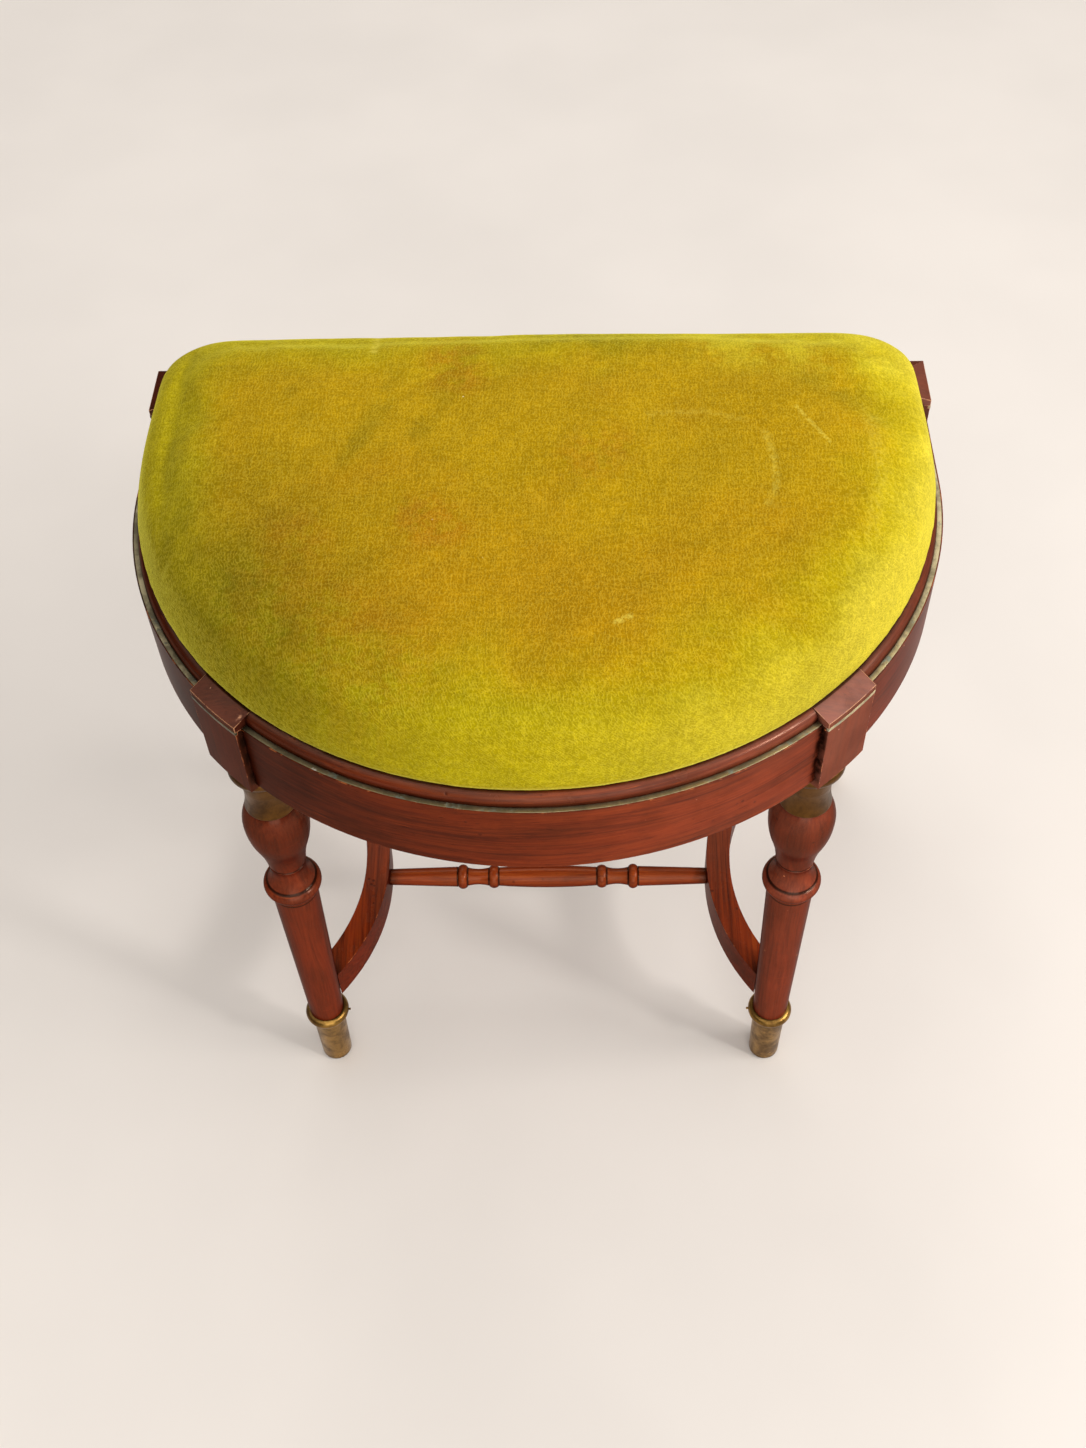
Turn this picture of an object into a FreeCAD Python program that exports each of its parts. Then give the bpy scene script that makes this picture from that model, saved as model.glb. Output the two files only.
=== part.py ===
import FreeCAD, Part
import math
import os
from types import SimpleNamespace

import Sketcher
from FreeCAD import Placement, Rotation, Vector

# Driving sizes in millimetres, and one angle in degrees.
# Plan positions are measured from the centre of the curved front, with the front towards -Y.
SIZES = {
    # Seat rails: a half round front and two straight sides
    "front_radius": 280.0,
    "rear_reach": 124.0,
    "rail_thickness": 24.0,
    "rail_height": 57.0,
    "rail_top": 478.0,
    "tenon_thickness": 10.0,
    "tenon_end_gap": 2.3,
    "tenon_root": 6.0,
    "tenon_shoulder": 9.0,
    "tenon_clearance": 2.0,
    # Square corner blocks, set forward of the rails
    "block_width": 44.6,
    "block_azimuth": 44.5,
    "block_proud": 4.5,
    "block_drop": 5.0,
    # Bead moulding that holds the seat, and the brass line let in beside it
    "bead_width": 7.6,
    "bead_height": 9.0,
    "bead_round": 6.5,
    "cap_slope": 13.0,
    "cap_fall": 4.2,
    "brass_width": 3.6,
    "brass_depth": 2.6,
    "edge_lip": 0.8,
    "slip_depth": 1.5,
    "slip_height": 2.4,
    "slip_proud": 0.3,
    # Turned legs, from the block down to the foot
    "leg_inset": 24.2,
    "spigot_radius": 11.0,
    "spigot_length": 22.0,
    "spigot_end_gap": 1.0,
    "socket_clearance": 0.1,
    "collar_seat_radius": 14.6,
    "collar_taper_length": 19.0,
    "skirt_flare": 2.5,
    "skirt_length": 40.5,
    "vase_swell": 6.1,
    "vase_upper_length": 21.5,
    "vase_lower_length": 25.0,
    "waist_drop": 3.8,
    "throat_length": 25.0,
    "throat_sag": 0.7,
    "groove_width": 2.0,
    "groove_depth": 0.9,
    "neck_radius": 13.0,
    "flare_length": 27.0,
    "flare_sag": 2.2,
    "ring_thickness": 11.0,
    "ring_rise": 3.2,
    "ring_root_step": 1.2,
    "ring_edge": 0.8,
    "ring_foot_height": 6.0,
    "ring_foot_sag": 0.5,
    "shaft_top_radius": 17.0,
    "toe_ledge": 2.5,
    "toe_radius": 11.3,
    # Brass collar between block and vase
    "collar_flange": 12.0,
    "collar_ring_drop": 11.0,
    "collar_ring_thickness": 10.5,
    "collar_ring_rise": 4.1,
    "collar_ring_step": 2.4,
    "collar_wall": 1.8,
    "collar_edge": 0.8,
    "collar_cove_height": 3.2,
    "collar_cove_sag": 0.5,
    "skirt_rise": 21.5,
    "skirt_sag": 0.9,
    "skirt_skin": 1.2,
    "skirt_hem": 0.4,
    # Brass ferrule on the foot
    "ferrule_height": 72.3,
    "ferrule_floor": 8.0,
    "ferrule_wall": 0.8,
    "ferrule_taper": 0.9,
    "ferrule_foot_round": 2.4,
    "ferrule_ring_thickness": 9.4,
    "ferrule_ring_rise": 4.3,
    "ferrule_ring_step": 0.3,
    "ferrule_cove_height": 1.5,
    "ferrule_cove_sag": 0.12,
    "ferrule_lip": 0.4,
    "ferrule_lip_step": 0.6,
    "toe_clearance": 0.1,
    "pin_radius": 0.9,
    "pin_proud": 1.6,
    "pin_bite": 5.0,
    # Stretchers
    "stretcher_top": 118.0,
    "stretcher_height": 30.0,
    "stretcher_width": 19.5,
    "stretcher_waist": 143.2,
    "stretcher_tenon_length": 11.0,
    "stretcher_tenon_thickness": 7.0,
    "stretcher_tenon_shoulder": 5.0,
    "stretcher_tenon_root": 4.0,
    "stretcher_clearance": 0.05,
    "mortise_mouth": 2.0,
    "cross_offset": 79.5,
    "cross_tenon_radius": 5.0,
    "cross_tenon_length": 12.0,
    "cross_end_shoulder": 1.8,
    "cross_end_taper": 1.7,
    "cross_root_radius": 7.8,
    "cross_bead_width": 8.4,
    "cross_outer_bead_centre": 72.0,
    "cross_outer_bead_rise": 2.6,
    "cross_inner_bead_centre": 45.6,
    "cross_inner_bead_rise": 2.0,
    "cross_cove_depth": 1.2,
    "cross_middle_rise": 1.5,
    # Glued corner blocks under the seat
    "glue_block_reach": 30.0,
    "glue_block_height": 44.0,
    "glue_block_drop": 6.0,
    # Drop-in seat
    "seat_side_gap": 2.0,
    "seat_rest_gap": 0.3,
    "frame_width": 48.0,
    "frame_thickness": 16.0,
    "web_width": 50.0,
    "web_thickness": 1.2,
    "web_end_gap": 18.0,
    "web_side_margin": 28.0,
    "web_back_margin": 3.0,
    "web_front_margin": 57.0,
    "hessian_thickness": 0.6,
    "hessian_inset": 8.0,
    "cover_thickness": 1.0,
    "cover_turn_under": 44.0,
    "opening_corner_radius": 8.0,
    "crown_height": 62.0,
    "crown_reach": 100.0,
    "crown_forward": 40.0,
    "pad_bulge": 6.8,
    "pad_corner_radius": 23.0,
    "pad_corner_growth": 36.0,
    "well_clearance": 4.0,
    "dust_cover_thickness": 0.6,
    "dust_cover_corner_radius": 10.0,
    "tack_inset": 5.0,
    "tack_head_radius": 3.6,
    "tack_head_thickness": 0.7,
    "tack_shank_radius": 0.9,
    "tack_length": 8.0,
    # Reach of cutting shapes beyond what they cut
    "cutter_reach": 1.5,
    "cutter_margin": 40.0,
}

# Counts of repeated pieces
WEBS_FRONT_TO_BACK = 5
WEBS_SIDE_TO_SIDE = 3
TACKS_ON_CURVE = 17
TACKS_ON_BACK = 9


class Size:
    """A length with the expression that binds it to the sheet."""

    def __init__(self, value, text=None):
        self.value = float(value)
        self.text = text if text is not None else repr(float(value))

    def _join(self, other, sign, value):
        return Size(value, f"({self.text} {sign} {other.text})")

    def __add__(self, other):
        other = as_size(other)
        return self._join(other, "+", self.value + other.value)

    def __radd__(self, other):
        return as_size(other) + self

    def __sub__(self, other):
        other = as_size(other)
        return self._join(other, "-", self.value - other.value)

    def __rsub__(self, other):
        return as_size(other) - self

    def __mul__(self, other):
        other = as_size(other)
        return self._join(other, "*", self.value * other.value)

    def __rmul__(self, other):
        return as_size(other) * self

    def __truediv__(self, other):
        other = as_size(other)
        return self._join(other, "/", self.value / other.value)


def as_size(number):
    """Give a plain number the form of a Size."""
    if isinstance(number, Size):
        return number
    return Size(number)


def root(size):
    """Square root of a Size."""
    return Size(math.sqrt(size.value), f"sqrt({size.text})")


def cosine(angle):
    """Cosine of an angle in degrees."""
    return Size(math.cos(math.radians(angle.value)), f"cos({angle.text})")


def sine(angle):
    """Sine of an angle in degrees."""
    return Size(math.sin(math.radians(angle.value)), f"sin({angle.text})")


def squared(size):
    """Square of a Size."""
    return size * size


def bow(rise, half_length):
    """Radius of an arc that rises by this much in the middle of its length."""
    return (squared(rise) + squared(half_length)) / (2 * rise)


def bow_between(rise, across, along):
    """Radius of an arc that rises by this much above a sloping chord."""
    return bow(rise, root(squared(across) + squared(along)) / 2)


class Corner:
    """A corner of an outline, and the edge that leaves it.

    With no radius the edge is straight. With one it is an arc of less than a half circle,
    turning left for turn 1 and right for turn -1.
    """

    def __init__(self, x, y, radius=None, turn=1):
        self.x = as_size(x)
        self.y = as_size(y)
        self.radius = None if radius is None else as_size(radius)
        self.turn = turn


def mirrored(corners, side):
    """The outline itself for side 1, and its mirror image in X for side -1."""
    if side == 1:
        return corners
    return [Corner(side * c.x, c.y, c.radius, -c.turn) for c in corners]


doc = FreeCAD.newDocument("piano_stool")
sheet = doc.addObject("Spreadsheet::Sheet", "Sizes")
for row, (alias, value) in enumerate(SIZES.items(), start=1):
    sheet.set(f"A{row}", alias)
    sheet.set(f"B{row}", str(value))
    sheet.setAlias(f"B{row}", alias)
doc.recompute()
s = SimpleNamespace(**{name: Size(value, f"Sizes.{name}") for name, value in SIZES.items()})

NODES = []


def keep(shape_object, name):
    """Name an object as a finished sub-part."""
    shape_object.Label = name
    NODES.append(shape_object)
    return shape_object


# Sketches and features

def bind(owner, prop, size):
    """Bind a property to the sheet."""
    owner.setExpression(prop, size.text)


def place(target, x=None, y=None, z=None):
    """Put an object in the part's frame, whose origin is below the middle of its plan."""
    target.Placement = Placement(Vector(0, 0, 0), target.Placement.Rotation)
    rear = s.rear_reach + s.slip_proud
    centre = (s.front_radius - rear) / 2
    bind(target, "Placement.Base.x", as_size(0) if x is None else x)
    bind(target, "Placement.Base.y", centre if y is None else centre + y)
    bind(target, "Placement.Base.z", as_size(0) if z is None else z)


def new_body(name, x=None, y=None, z=None):
    """Start a body at a place in plan."""
    body = doc.addObject("PartDesign::Body", name)
    place(body, x, y, z)
    return body


def add_sketch(body, plane, offset=None):
    """Add a sketch on one of the body's own planes."""
    sketch = body.newObject("Sketcher::SketchObject", body.Name + "_sketch")
    support = [item for item in body.Origin.OriginFeatures if item.Role == plane][0]
    sketch.AttachmentSupport = [(support, "")]
    sketch.MapMode = "FlatFace"
    if offset is not None:
        bind(sketch, "AttachmentOffset.Base.z", offset)
    return sketch


def arc_between(start, end, radius, turn):
    """Arc of less than a half circle from start to end."""
    chord = end - start
    rise = math.sqrt(max(radius * radius - chord.Length * chord.Length / 4, 0.0))
    left = Vector(-chord.y, chord.x, 0).normalize()
    centre = (start + end) * 0.5 + left * (rise * turn)
    first, last = (start, end) if turn == 1 else (end, start)
    angles = [math.atan2(p.y - centre.y, p.x - centre.x) for p in (first, last)]
    return Part.ArcOfCircle(Part.Circle(centre, Vector(0, 0, 1), radius), angles[0], angles[1])


def draw(sketch, corners):
    """Draw a closed outline whose corners and radii are bound to the sheet."""
    starts = []
    ends = []
    for here, after in zip(corners, corners[1:] + corners[:1]):
        start = Vector(here.x.value, here.y.value, 0)
        end = Vector(after.x.value, after.y.value, 0)
        if here.radius is None:
            edge = sketch.addGeometry(Part.LineSegment(start, end), False)
        else:
            edge = sketch.addGeometry(arc_between(start, end, here.radius.value, here.turn), False)
        flipped = here.radius is not None and here.turn == -1
        starts.append((edge, 2 if flipped else 1))
        ends.append((edge, 1 if flipped else 2))
    for end, start in zip(ends, starts[1:] + starts[:1]):
        sketch.addConstraint(Sketcher.Constraint("Coincident", *end, *start))
    for corner, start in zip(corners, starts):
        for kind, size in (("DistanceX", corner.x), ("DistanceY", corner.y)):
            index = sketch.addConstraint(Sketcher.Constraint(kind, -1, 1, *start, size.value))
            bind(sketch, f"Constraints[{index}]", size)
        if corner.radius is not None:
            index = sketch.addConstraint(Sketcher.Constraint("Radius", start[0], corner.radius.value))
            bind(sketch, f"Constraints[{index}]", corner.radius)
    return sketch


def add_pad(body, corners, base, height):
    """Add a plate with this outline in plan, from base upwards."""
    pad = body.newObject("PartDesign::Pad", body.Name + "_pad")
    pad.Profile = draw(add_sketch(body, "XY_Plane", base), corners)
    bind(pad, "Length", height)
    return pad


def add_pocket(body, corners, top, depth):
    """Cut this outline out of the body, from top downwards."""
    pocket = body.newObject("PartDesign::Pocket", body.Name + "_pocket")
    pocket.Profile = draw(add_sketch(body, "XY_Plane", top), corners)
    bind(pocket, "Length", depth)
    return pocket


def add_turning(body, corners):
    """Turn a profile of radius against height about the body's upright axis."""
    sketch = draw(add_sketch(body, "XZ_Plane"), corners)
    turning = body.newObject("PartDesign::Revolution", body.Name + "_turning")
    turning.Profile = sketch
    turning.ReferenceAxis = (sketch, ["V_Axis"])
    turning.Angle = 360.0
    return turning


def chosen_edges(body, wanted):
    """The body's last feature, with the names of its edges whose middle passes a test."""
    doc.recompute()
    base = body.Tip
    names = []
    for number, edge in enumerate(base.Shape.Edges, start=1):
        middle = edge.valueAt((edge.FirstParameter + edge.LastParameter) / 2)
        if wanted(edge, middle):
            names.append(f"Edge{number}")
    return base, names


def round_edges(body, radius, wanted):
    """Round the edges of the body whose middle passes a test."""
    chosen = chosen_edges(body, wanted)
    fillet = body.newObject("PartDesign::Fillet", body.Name + "_round")
    fillet.Base = chosen
    bind(fillet, "Radius", radius)
    return fillet


def slope_edges(body, reach, fall, wanted):
    """Plane the top down to the edges of the body whose middle passes a test."""
    chosen = chosen_edges(body, wanted)
    chamfer = body.newObject("PartDesign::Chamfer", body.Name + "_slope")
    chamfer.Base = chosen
    chamfer.ChamferType = "Two distances"
    chamfer.FlipDirection = True
    bind(chamfer, "Size", reach)
    bind(chamfer, "Size2", fall)
    return chamfer


def plate(name, corners, base, height):
    """A body that is one plate."""
    body = new_body(name)
    add_pad(body, corners, base, height)
    return body


def group(name, members):
    """Several separate solids that share one node."""
    bundle = doc.addObject("Part::Compound", name)
    bundle.Links = members
    return keep(bundle, name)


# Plan of the frame

half_block = s.block_width / 2
block_face = s.front_radius + s.block_proud
block_back = block_face - s.block_width
leg_reach = block_face - s.leg_inset
tenon_length = half_block - s.tenon_end_gap
rail_inner = s.front_radius - s.rail_thickness
rail_base = s.rail_top - s.rail_height
block_base = rail_base - s.block_drop
rear_block_front = s.rear_reach - s.block_width
back_rail_face = s.rear_reach - s.block_proud
groove_outer = s.edge_lip
groove_inner = s.edge_lip + s.brass_width
bead_inner = groove_inner + s.bead_width
out_x = sine(s.block_azimuth)
out_y = cosine(s.block_azimuth)


def beside_block(radius, offset):
    """Point on a circle about the curve's centre, at an offset across the right front block."""
    along = root(radius * radius - offset * offset)
    return along * out_x + offset * out_y, offset * out_x - along * out_y


def front_band(outer, inner):
    """Outline between two circles, from the left front block round to the right one."""
    outer_x, outer_y = beside_block(outer, 0 - half_block)
    inner_x, inner_y = beside_block(inner, 0 - half_block)
    return [
        Corner(0 - outer_x, outer_y, outer, 1),
        Corner(outer_x, outer_y),
        Corner(inner_x, inner_y, inner, -1),
        Corner(0 - inner_x, inner_y),
    ]


def side_band(outer, inner, side):
    """Outline between two circles, from a front block round and straight back to the rear block."""
    outer_x, outer_y = beside_block(outer, half_block)
    inner_x, inner_y = beside_block(inner, half_block)
    corners = [
        Corner(outer_x, outer_y, outer, 1),
        Corner(outer, 0),
        Corner(outer, rear_block_front),
        Corner(inner, rear_block_front),
        Corner(inner, 0, inner, -1),
        Corner(inner_x, inner_y),
    ]
    return mirrored(corners, side)


def back_band(outer, inner):
    """Outline of a straight band along the back, given by its distances in from the rail's face."""
    near = back_rail_face - inner
    far = back_rail_face - outer
    return [
        Corner(0 - block_back, near),
        Corner(block_back, near),
        Corner(block_back, far),
        Corner(0 - block_back, far),
    ]


def front_block_band(outer, inner, side):
    """Outline across a front block between two circles."""
    corners = [
        Corner(*beside_block(outer, 0 - half_block), outer, 1),
        Corner(*beside_block(outer, half_block)),
        Corner(*beside_block(inner, half_block), inner, -1),
        Corner(*beside_block(inner, 0 - half_block)),
    ]
    return mirrored(corners, side)


def rear_block_angle(outer, inner, side):
    """L-shaped outline along the two outer faces of a rear block, given by distances from them."""
    corners = [
        Corner(block_face - outer, rear_block_front),
        Corner(block_face - outer, s.rear_reach - outer),
        Corner(block_back, s.rear_reach - outer),
        Corner(block_back, s.rear_reach - inner),
        Corner(block_face - inner, s.rear_reach - inner),
        Corner(block_face - inner, rear_block_front),
    ]
    return mirrored(corners, side)


def tenon_outline(x, y, along_x, along_y, length, thickness, overlap):
    """Rectangle that starts a little behind a point and runs along a direction."""
    half = thickness / 2
    corners = []
    for reach, across in ((0 - overlap, -1), (length, -1), (length, 1), (0 - overlap, 1)):
        reach = as_size(reach)
        corners.append(Corner(x + reach * along_x - half * across * along_y,
                              y + reach * along_y + half * across * along_x))
    return corners


tenon_top = s.rail_top - s.tenon_shoulder
tenon_base = block_base + s.spigot_length + s.tenon_clearance
tenon_height = tenon_top - tenon_base
rail_middle = s.front_radius - s.rail_thickness / 2
front_joint = beside_block(rail_middle, 0 - half_block)
side_joint = beside_block(rail_middle, half_block)


def front_tenon(side, overlap):
    """Tenon of the front rail in one front block."""
    outline = tenon_outline(*front_joint, out_y, out_x, tenon_length, s.tenon_thickness, overlap)
    return mirrored(outline, side)


def side_front_tenon(side, overlap):
    """Tenon of a side rail in its front block."""
    outline = tenon_outline(*side_joint, 0 - out_y, 0 - out_x, tenon_length, s.tenon_thickness,
                            overlap)
    return mirrored(outline, side)


def side_rear_tenon(side, overlap):
    """Tenon of a side rail in its rear block."""
    outline = tenon_outline(rail_middle, rear_block_front, as_size(0), as_size(1), tenon_length,
                            s.tenon_thickness, overlap)
    return mirrored(outline, side)


def back_tenon(side, overlap):
    """Tenon of the back rail in one rear block."""
    outline = tenon_outline(block_back, back_rail_face - s.rail_thickness / 2, as_size(1),
                            as_size(0), tenon_length, s.tenon_thickness, overlap)
    return mirrored(outline, side)


SIDES = ((1, "right"), (-1, "left"))

# Seat rails with their tenons and brass grooves

front_rail = new_body("front_rail")
add_pad(front_rail, front_band(s.front_radius, rail_inner), rail_base, s.rail_height)
for side, word in SIDES:
    add_pad(front_rail, front_tenon(side, s.tenon_root), tenon_base, tenon_height)
groove = front_band(s.front_radius - groove_outer, s.front_radius - groove_inner)
add_pocket(front_rail, groove, s.rail_top, s.brass_depth)
keep(front_rail, "front_rail")

for side, word in SIDES:
    rail = new_body(f"side_rail_{word}")
    add_pad(rail, side_band(s.front_radius, rail_inner, side), rail_base, s.rail_height)
    add_pad(rail, side_front_tenon(side, s.tenon_root), tenon_base, tenon_height)
    add_pad(rail, side_rear_tenon(side, s.tenon_root), tenon_base, tenon_height)
    groove = side_band(s.front_radius - groove_outer, s.front_radius - groove_inner, side)
    add_pocket(rail, groove, s.rail_top, s.brass_depth)
    keep(rail, f"side_rail_{word}")

back_rail = new_body("back_rail")
add_pad(back_rail, back_band(as_size(0), s.rail_thickness), rail_base, s.rail_height)
for side, word in SIDES:
    add_pad(back_rail, back_tenon(side, s.tenon_root), tenon_base, tenon_height)
add_pocket(back_rail, back_band(groove_outer, groove_inner), s.rail_top, s.brass_depth)
keep(back_rail, "back_rail")

# Corner blocks with mortises for the rails and a socket for the leg

block_height = s.rail_top - block_base


def circle_of_arcs(x, y, radius):
    """Outline of a full circle, as four quarter arcs."""
    return [
        Corner(x + radius, y, radius, 1),
        Corner(x, y + radius, radius, 1),
        Corner(x - radius, y, radius, 1),
        Corner(x, y - radius, radius, 1),
    ]


def add_socket(block, x, y):
    """Bore the underside of a block for the spigot of its leg."""
    radius = s.spigot_radius + s.socket_clearance
    add_pocket(block, circle_of_arcs(x, y, radius), block_base + s.spigot_length, s.spigot_length)


for side, word in SIDES:
    block = new_body(f"front_block_{word}")
    inner_x, inner_y = block_back * out_x, 0 - block_back * out_y
    outline = [
        Corner(*beside_block(block_face, 0 - half_block), block_face, 1),
        Corner(*beside_block(block_face, half_block)),
        Corner(inner_x + half_block * out_y, inner_y + half_block * out_x),
        Corner(inner_x - half_block * out_y, inner_y - half_block * out_x),
    ]
    add_pad(block, mirrored(outline, side), block_base, block_height)
    add_pocket(block, front_tenon(side, 0), tenon_top, tenon_height)
    add_pocket(block, side_front_tenon(side, 0), tenon_top, tenon_height)
    rebate = front_block_band(block_face + s.slip_depth, block_face - s.slip_depth, side)
    add_pocket(block, rebate, s.rail_top, s.slip_height)
    add_socket(block, side * leg_reach * out_x, 0 - leg_reach * out_y)
    keep(block, f"front_block_{word}")

for side, word in SIDES:
    block = new_body(f"rear_block_{word}")
    outline = [
        Corner(block_back, rear_block_front),
        Corner(block_face, rear_block_front),
        Corner(block_face, s.rear_reach),
        Corner(block_back, s.rear_reach),
    ]
    add_pad(block, mirrored(outline, side), block_base, block_height)
    add_pocket(block, side_rear_tenon(side, 0), tenon_top, tenon_height)
    add_pocket(block, back_tenon(side, 0), tenon_top, tenon_height)
    rebate = rear_block_angle(0 - s.slip_depth, s.slip_depth, side)
    add_pocket(block, rebate, s.rail_top, s.slip_height)
    add_socket(block, side * (block_face - s.leg_inset), s.rear_reach - s.leg_inset)
    keep(block, f"rear_block_{word}")

# Bead moulding: a square strip with its outer top edge rounded over


def on_top(middle):
    """Whether a point lies on the top of the moulding."""
    return abs(middle.z - s.rail_top.value - s.bead_height.value) < 1e-6


def bead(name, corners, outer_edge):
    """One length of moulding, whose outer top edges pass a test in plan."""
    body = plate(name, corners, s.rail_top, s.bead_height)
    round_edges(body, s.bead_round, lambda edge, middle: on_top(middle) and outer_edge(middle))
    return keep(body, name)


def beyond_circle(radius):
    """Test for a point on the curved front or straight side, at a distance from the centre line."""
    limit = radius.value - 0.01

    def test(middle):
        reach = math.hypot(middle.x, middle.y) if middle.y < 0 else abs(middle.x)
        return reach > limit
    return test


bead_face = s.front_radius - groove_inner
bead_back = s.front_radius - bead_inner
bead("front_bead", front_band(bead_face, bead_back), beyond_circle(bead_face))
for side, word in SIDES:
    bead(f"side_bead_{word}", side_band(bead_face, bead_back, side), beyond_circle(bead_face))
back_bead_face = back_rail_face.value - groove_inner.value
bead("back_bead", back_band(groove_inner, bead_inner), lambda p: p.y > back_bead_face - 0.01)
cap_width = s.block_proud + bead_inner


def cap(name, corners, outer_edge):
    """Flat cap on a block, whose top slopes down to its outer edges."""
    body = plate(name, corners, s.rail_top, s.bead_height)
    slope_edges(body, s.cap_slope, s.cap_fall,
                lambda edge, middle: on_top(middle) and outer_edge(middle))
    return keep(body, name)


for side, word in SIDES:
    outline = front_block_band(block_face, bead_back, side)
    cap(f"front_cap_{word}", outline, beyond_circle(block_face))
    outline = rear_block_angle(as_size(0), cap_width, side)
    cap(f"rear_cap_{word}", outline,
        lambda p: abs(p.x) > block_face.value - 0.01 or p.y > s.rear_reach.value - 0.01)

# Brass lines beside the bead, and brass slips on the faces of the blocks

strip_base = s.rail_top - s.brass_depth
strip_bands = {
    "front_brass_line": front_band(s.front_radius - groove_outer, s.front_radius - groove_inner),
    "back_brass_line": back_band(groove_outer, groove_inner),
}
for side, word in SIDES:
    strip_bands[f"side_brass_line_{word}"] = side_band(s.front_radius - groove_outer,
                                                       s.front_radius - groove_inner, side)
for name, outline in strip_bands.items():
    keep(plate(name, outline, strip_base, s.brass_depth), name)
for side, word in SIDES:
    slip_base = s.rail_top - s.slip_height
    outline = front_block_band(block_face + s.slip_proud, block_face - s.slip_depth, side)
    keep(plate(f"front_block_slip_{word}", outline, slip_base, s.slip_height),
         f"front_block_slip_{word}")
    outline = rear_block_angle(0 - s.slip_proud, s.slip_depth, side)
    keep(plate(f"rear_block_slip_{word}", outline, slip_base, s.slip_height),
         f"rear_block_slip_{word}")

# Levels and radii of the turned legs, from the block down

half_ring = s.ring_thickness / 2
collar_base = block_base - s.collar_flange
spigot_end = block_base + s.spigot_length - s.spigot_end_gap
skirt_base = collar_base - s.skirt_length
taper_top = skirt_base + s.collar_taper_length
vase_level = skirt_base - s.vase_upper_length
waist_level = vase_level - s.vase_lower_length
groove_top = waist_level - s.throat_length
groove_base = groove_top - s.groove_width
ring_top = groove_base - s.flare_length + half_ring
ring_base = ring_top - s.ring_thickness
shaft_top = ring_base - s.ring_foot_height
shoulder_radius = s.collar_seat_radius + s.skirt_flare
vase_radius = shoulder_radius + s.vase_swell
waist_radius = vase_radius - s.waist_drop
groove_radius = s.neck_radius + s.groove_depth
ring_root_radius = s.shaft_top_radius + s.ring_root_step
flare_radius = ring_root_radius - s.ring_edge
shaft_low_radius = s.toe_radius + s.toe_ledge


def shaft_radius(height):
    """Radius of the tapered shaft at a height."""
    share = (height - s.ferrule_height) / (shaft_top - s.ferrule_height)
    return shaft_low_radius + share * (s.shaft_top_radius - shaft_low_radius)


# Side stretchers: each sweeps in two arcs from the end of the cross stretcher to its two legs

cross_y = 0 - s.cross_offset
half_stretcher = s.stretcher_width / 2
stretcher_inner = s.stretcher_waist - half_stretcher
stretcher_base = s.stretcher_top - s.stretcher_height
stretcher_middle = s.stretcher_top - s.stretcher_height / 2
shaft_at_stretcher = shaft_radius(s.stretcher_top)
stretcher_tenon_top = s.stretcher_top - s.stretcher_tenon_shoulder
stretcher_tenon_height = s.stretcher_height - 2 * s.stretcher_tenon_shoulder


class Sweep:
    """Arc in plan from the end of the cross stretcher to the axis of a leg.

    The direction is 1 for the front leg and -1 for the rear one.
    """

    def __init__(self, leg_x, leg_y, direction):
        self.leg_x = leg_x
        self.leg_y = leg_y
        self.radius = bow(leg_x - s.stretcher_waist, leg_y - cross_y)
        self.centre_x = s.stretcher_waist + self.radius
        self.along_x = direction * (leg_y - cross_y) / self.radius
        self.along_y = direction * (self.centre_x - leg_x) / self.radius

    def at_leg(self, offset):
        """Point beside the leg's axis, on a circle that lies this much further out."""
        share = (self.radius + offset) / self.radius
        return (self.centre_x + (self.leg_x - self.centre_x) * share,
                cross_y + (self.leg_y - cross_y) * share)


front_sweep = Sweep(leg_reach * out_x, 0 - leg_reach * out_y, 1)
rear_sweep = Sweep(block_face - s.leg_inset, s.rear_reach - s.leg_inset, -1)
SWEEPS = (("front", front_sweep), ("rear", rear_sweep))


def stretcher_tenon(leg_x, leg_y, sweep, overlap, side):
    """Tenon that reaches from the shaft's surface towards the leg's axis."""
    start = shaft_at_stretcher + overlap
    length = s.stretcher_tenon_length + overlap
    outline = tenon_outline(leg_x + start * sweep.along_x, leg_y + start * sweep.along_y,
                            0 - sweep.along_x, 0 - sweep.along_y, length,
                            s.stretcher_tenon_thickness, 0)
    return mirrored(outline, side)


def cross_mortise(body, side):
    """Bore the inner face of a side stretcher for the turned cross stretcher."""
    sketch = draw(add_sketch(body, "YZ_Plane", side * (stretcher_inner - s.cutter_reach)),
                  circle_of_arcs(cross_y, stretcher_middle, s.cross_tenon_radius))
    pocket = body.newObject("PartDesign::Pocket", body.Name + "_mortise")
    pocket.Profile = sketch
    pocket.Reversed = side == 1
    bind(pocket, "Length", s.cross_tenon_length + s.cutter_reach)


for side, word in SIDES:
    stretcher = new_body(f"side_stretcher_{word}")
    outline = [
        Corner(*front_sweep.at_leg(half_stretcher), front_sweep.radius + half_stretcher, -1),
        Corner(stretcher_inner, cross_y, rear_sweep.radius + half_stretcher, -1),
        Corner(*rear_sweep.at_leg(half_stretcher)),
        Corner(*rear_sweep.at_leg(0 - half_stretcher), rear_sweep.radius - half_stretcher, 1),
        Corner(s.stretcher_waist + half_stretcher, cross_y,
               front_sweep.radius - half_stretcher, 1),
        Corner(*front_sweep.at_leg(0 - half_stretcher)),
    ]
    add_pad(stretcher, mirrored(outline, side), stretcher_base, s.stretcher_height)
    for place_word, sweep in SWEEPS:
        hollow = circle_of_arcs(side * sweep.leg_x, sweep.leg_y,
                                shaft_at_stretcher + s.stretcher_clearance)
        add_pocket(stretcher, hollow, s.stretcher_top, s.stretcher_height)
        tenon = stretcher_tenon(sweep.leg_x, sweep.leg_y, sweep, s.stretcher_tenon_root, side)
        add_pad(stretcher, tenon, stretcher_tenon_top - stretcher_tenon_height,
                stretcher_tenon_height)
    cross_mortise(stretcher, side)
    keep(stretcher, f"side_stretcher_{word}")

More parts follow.
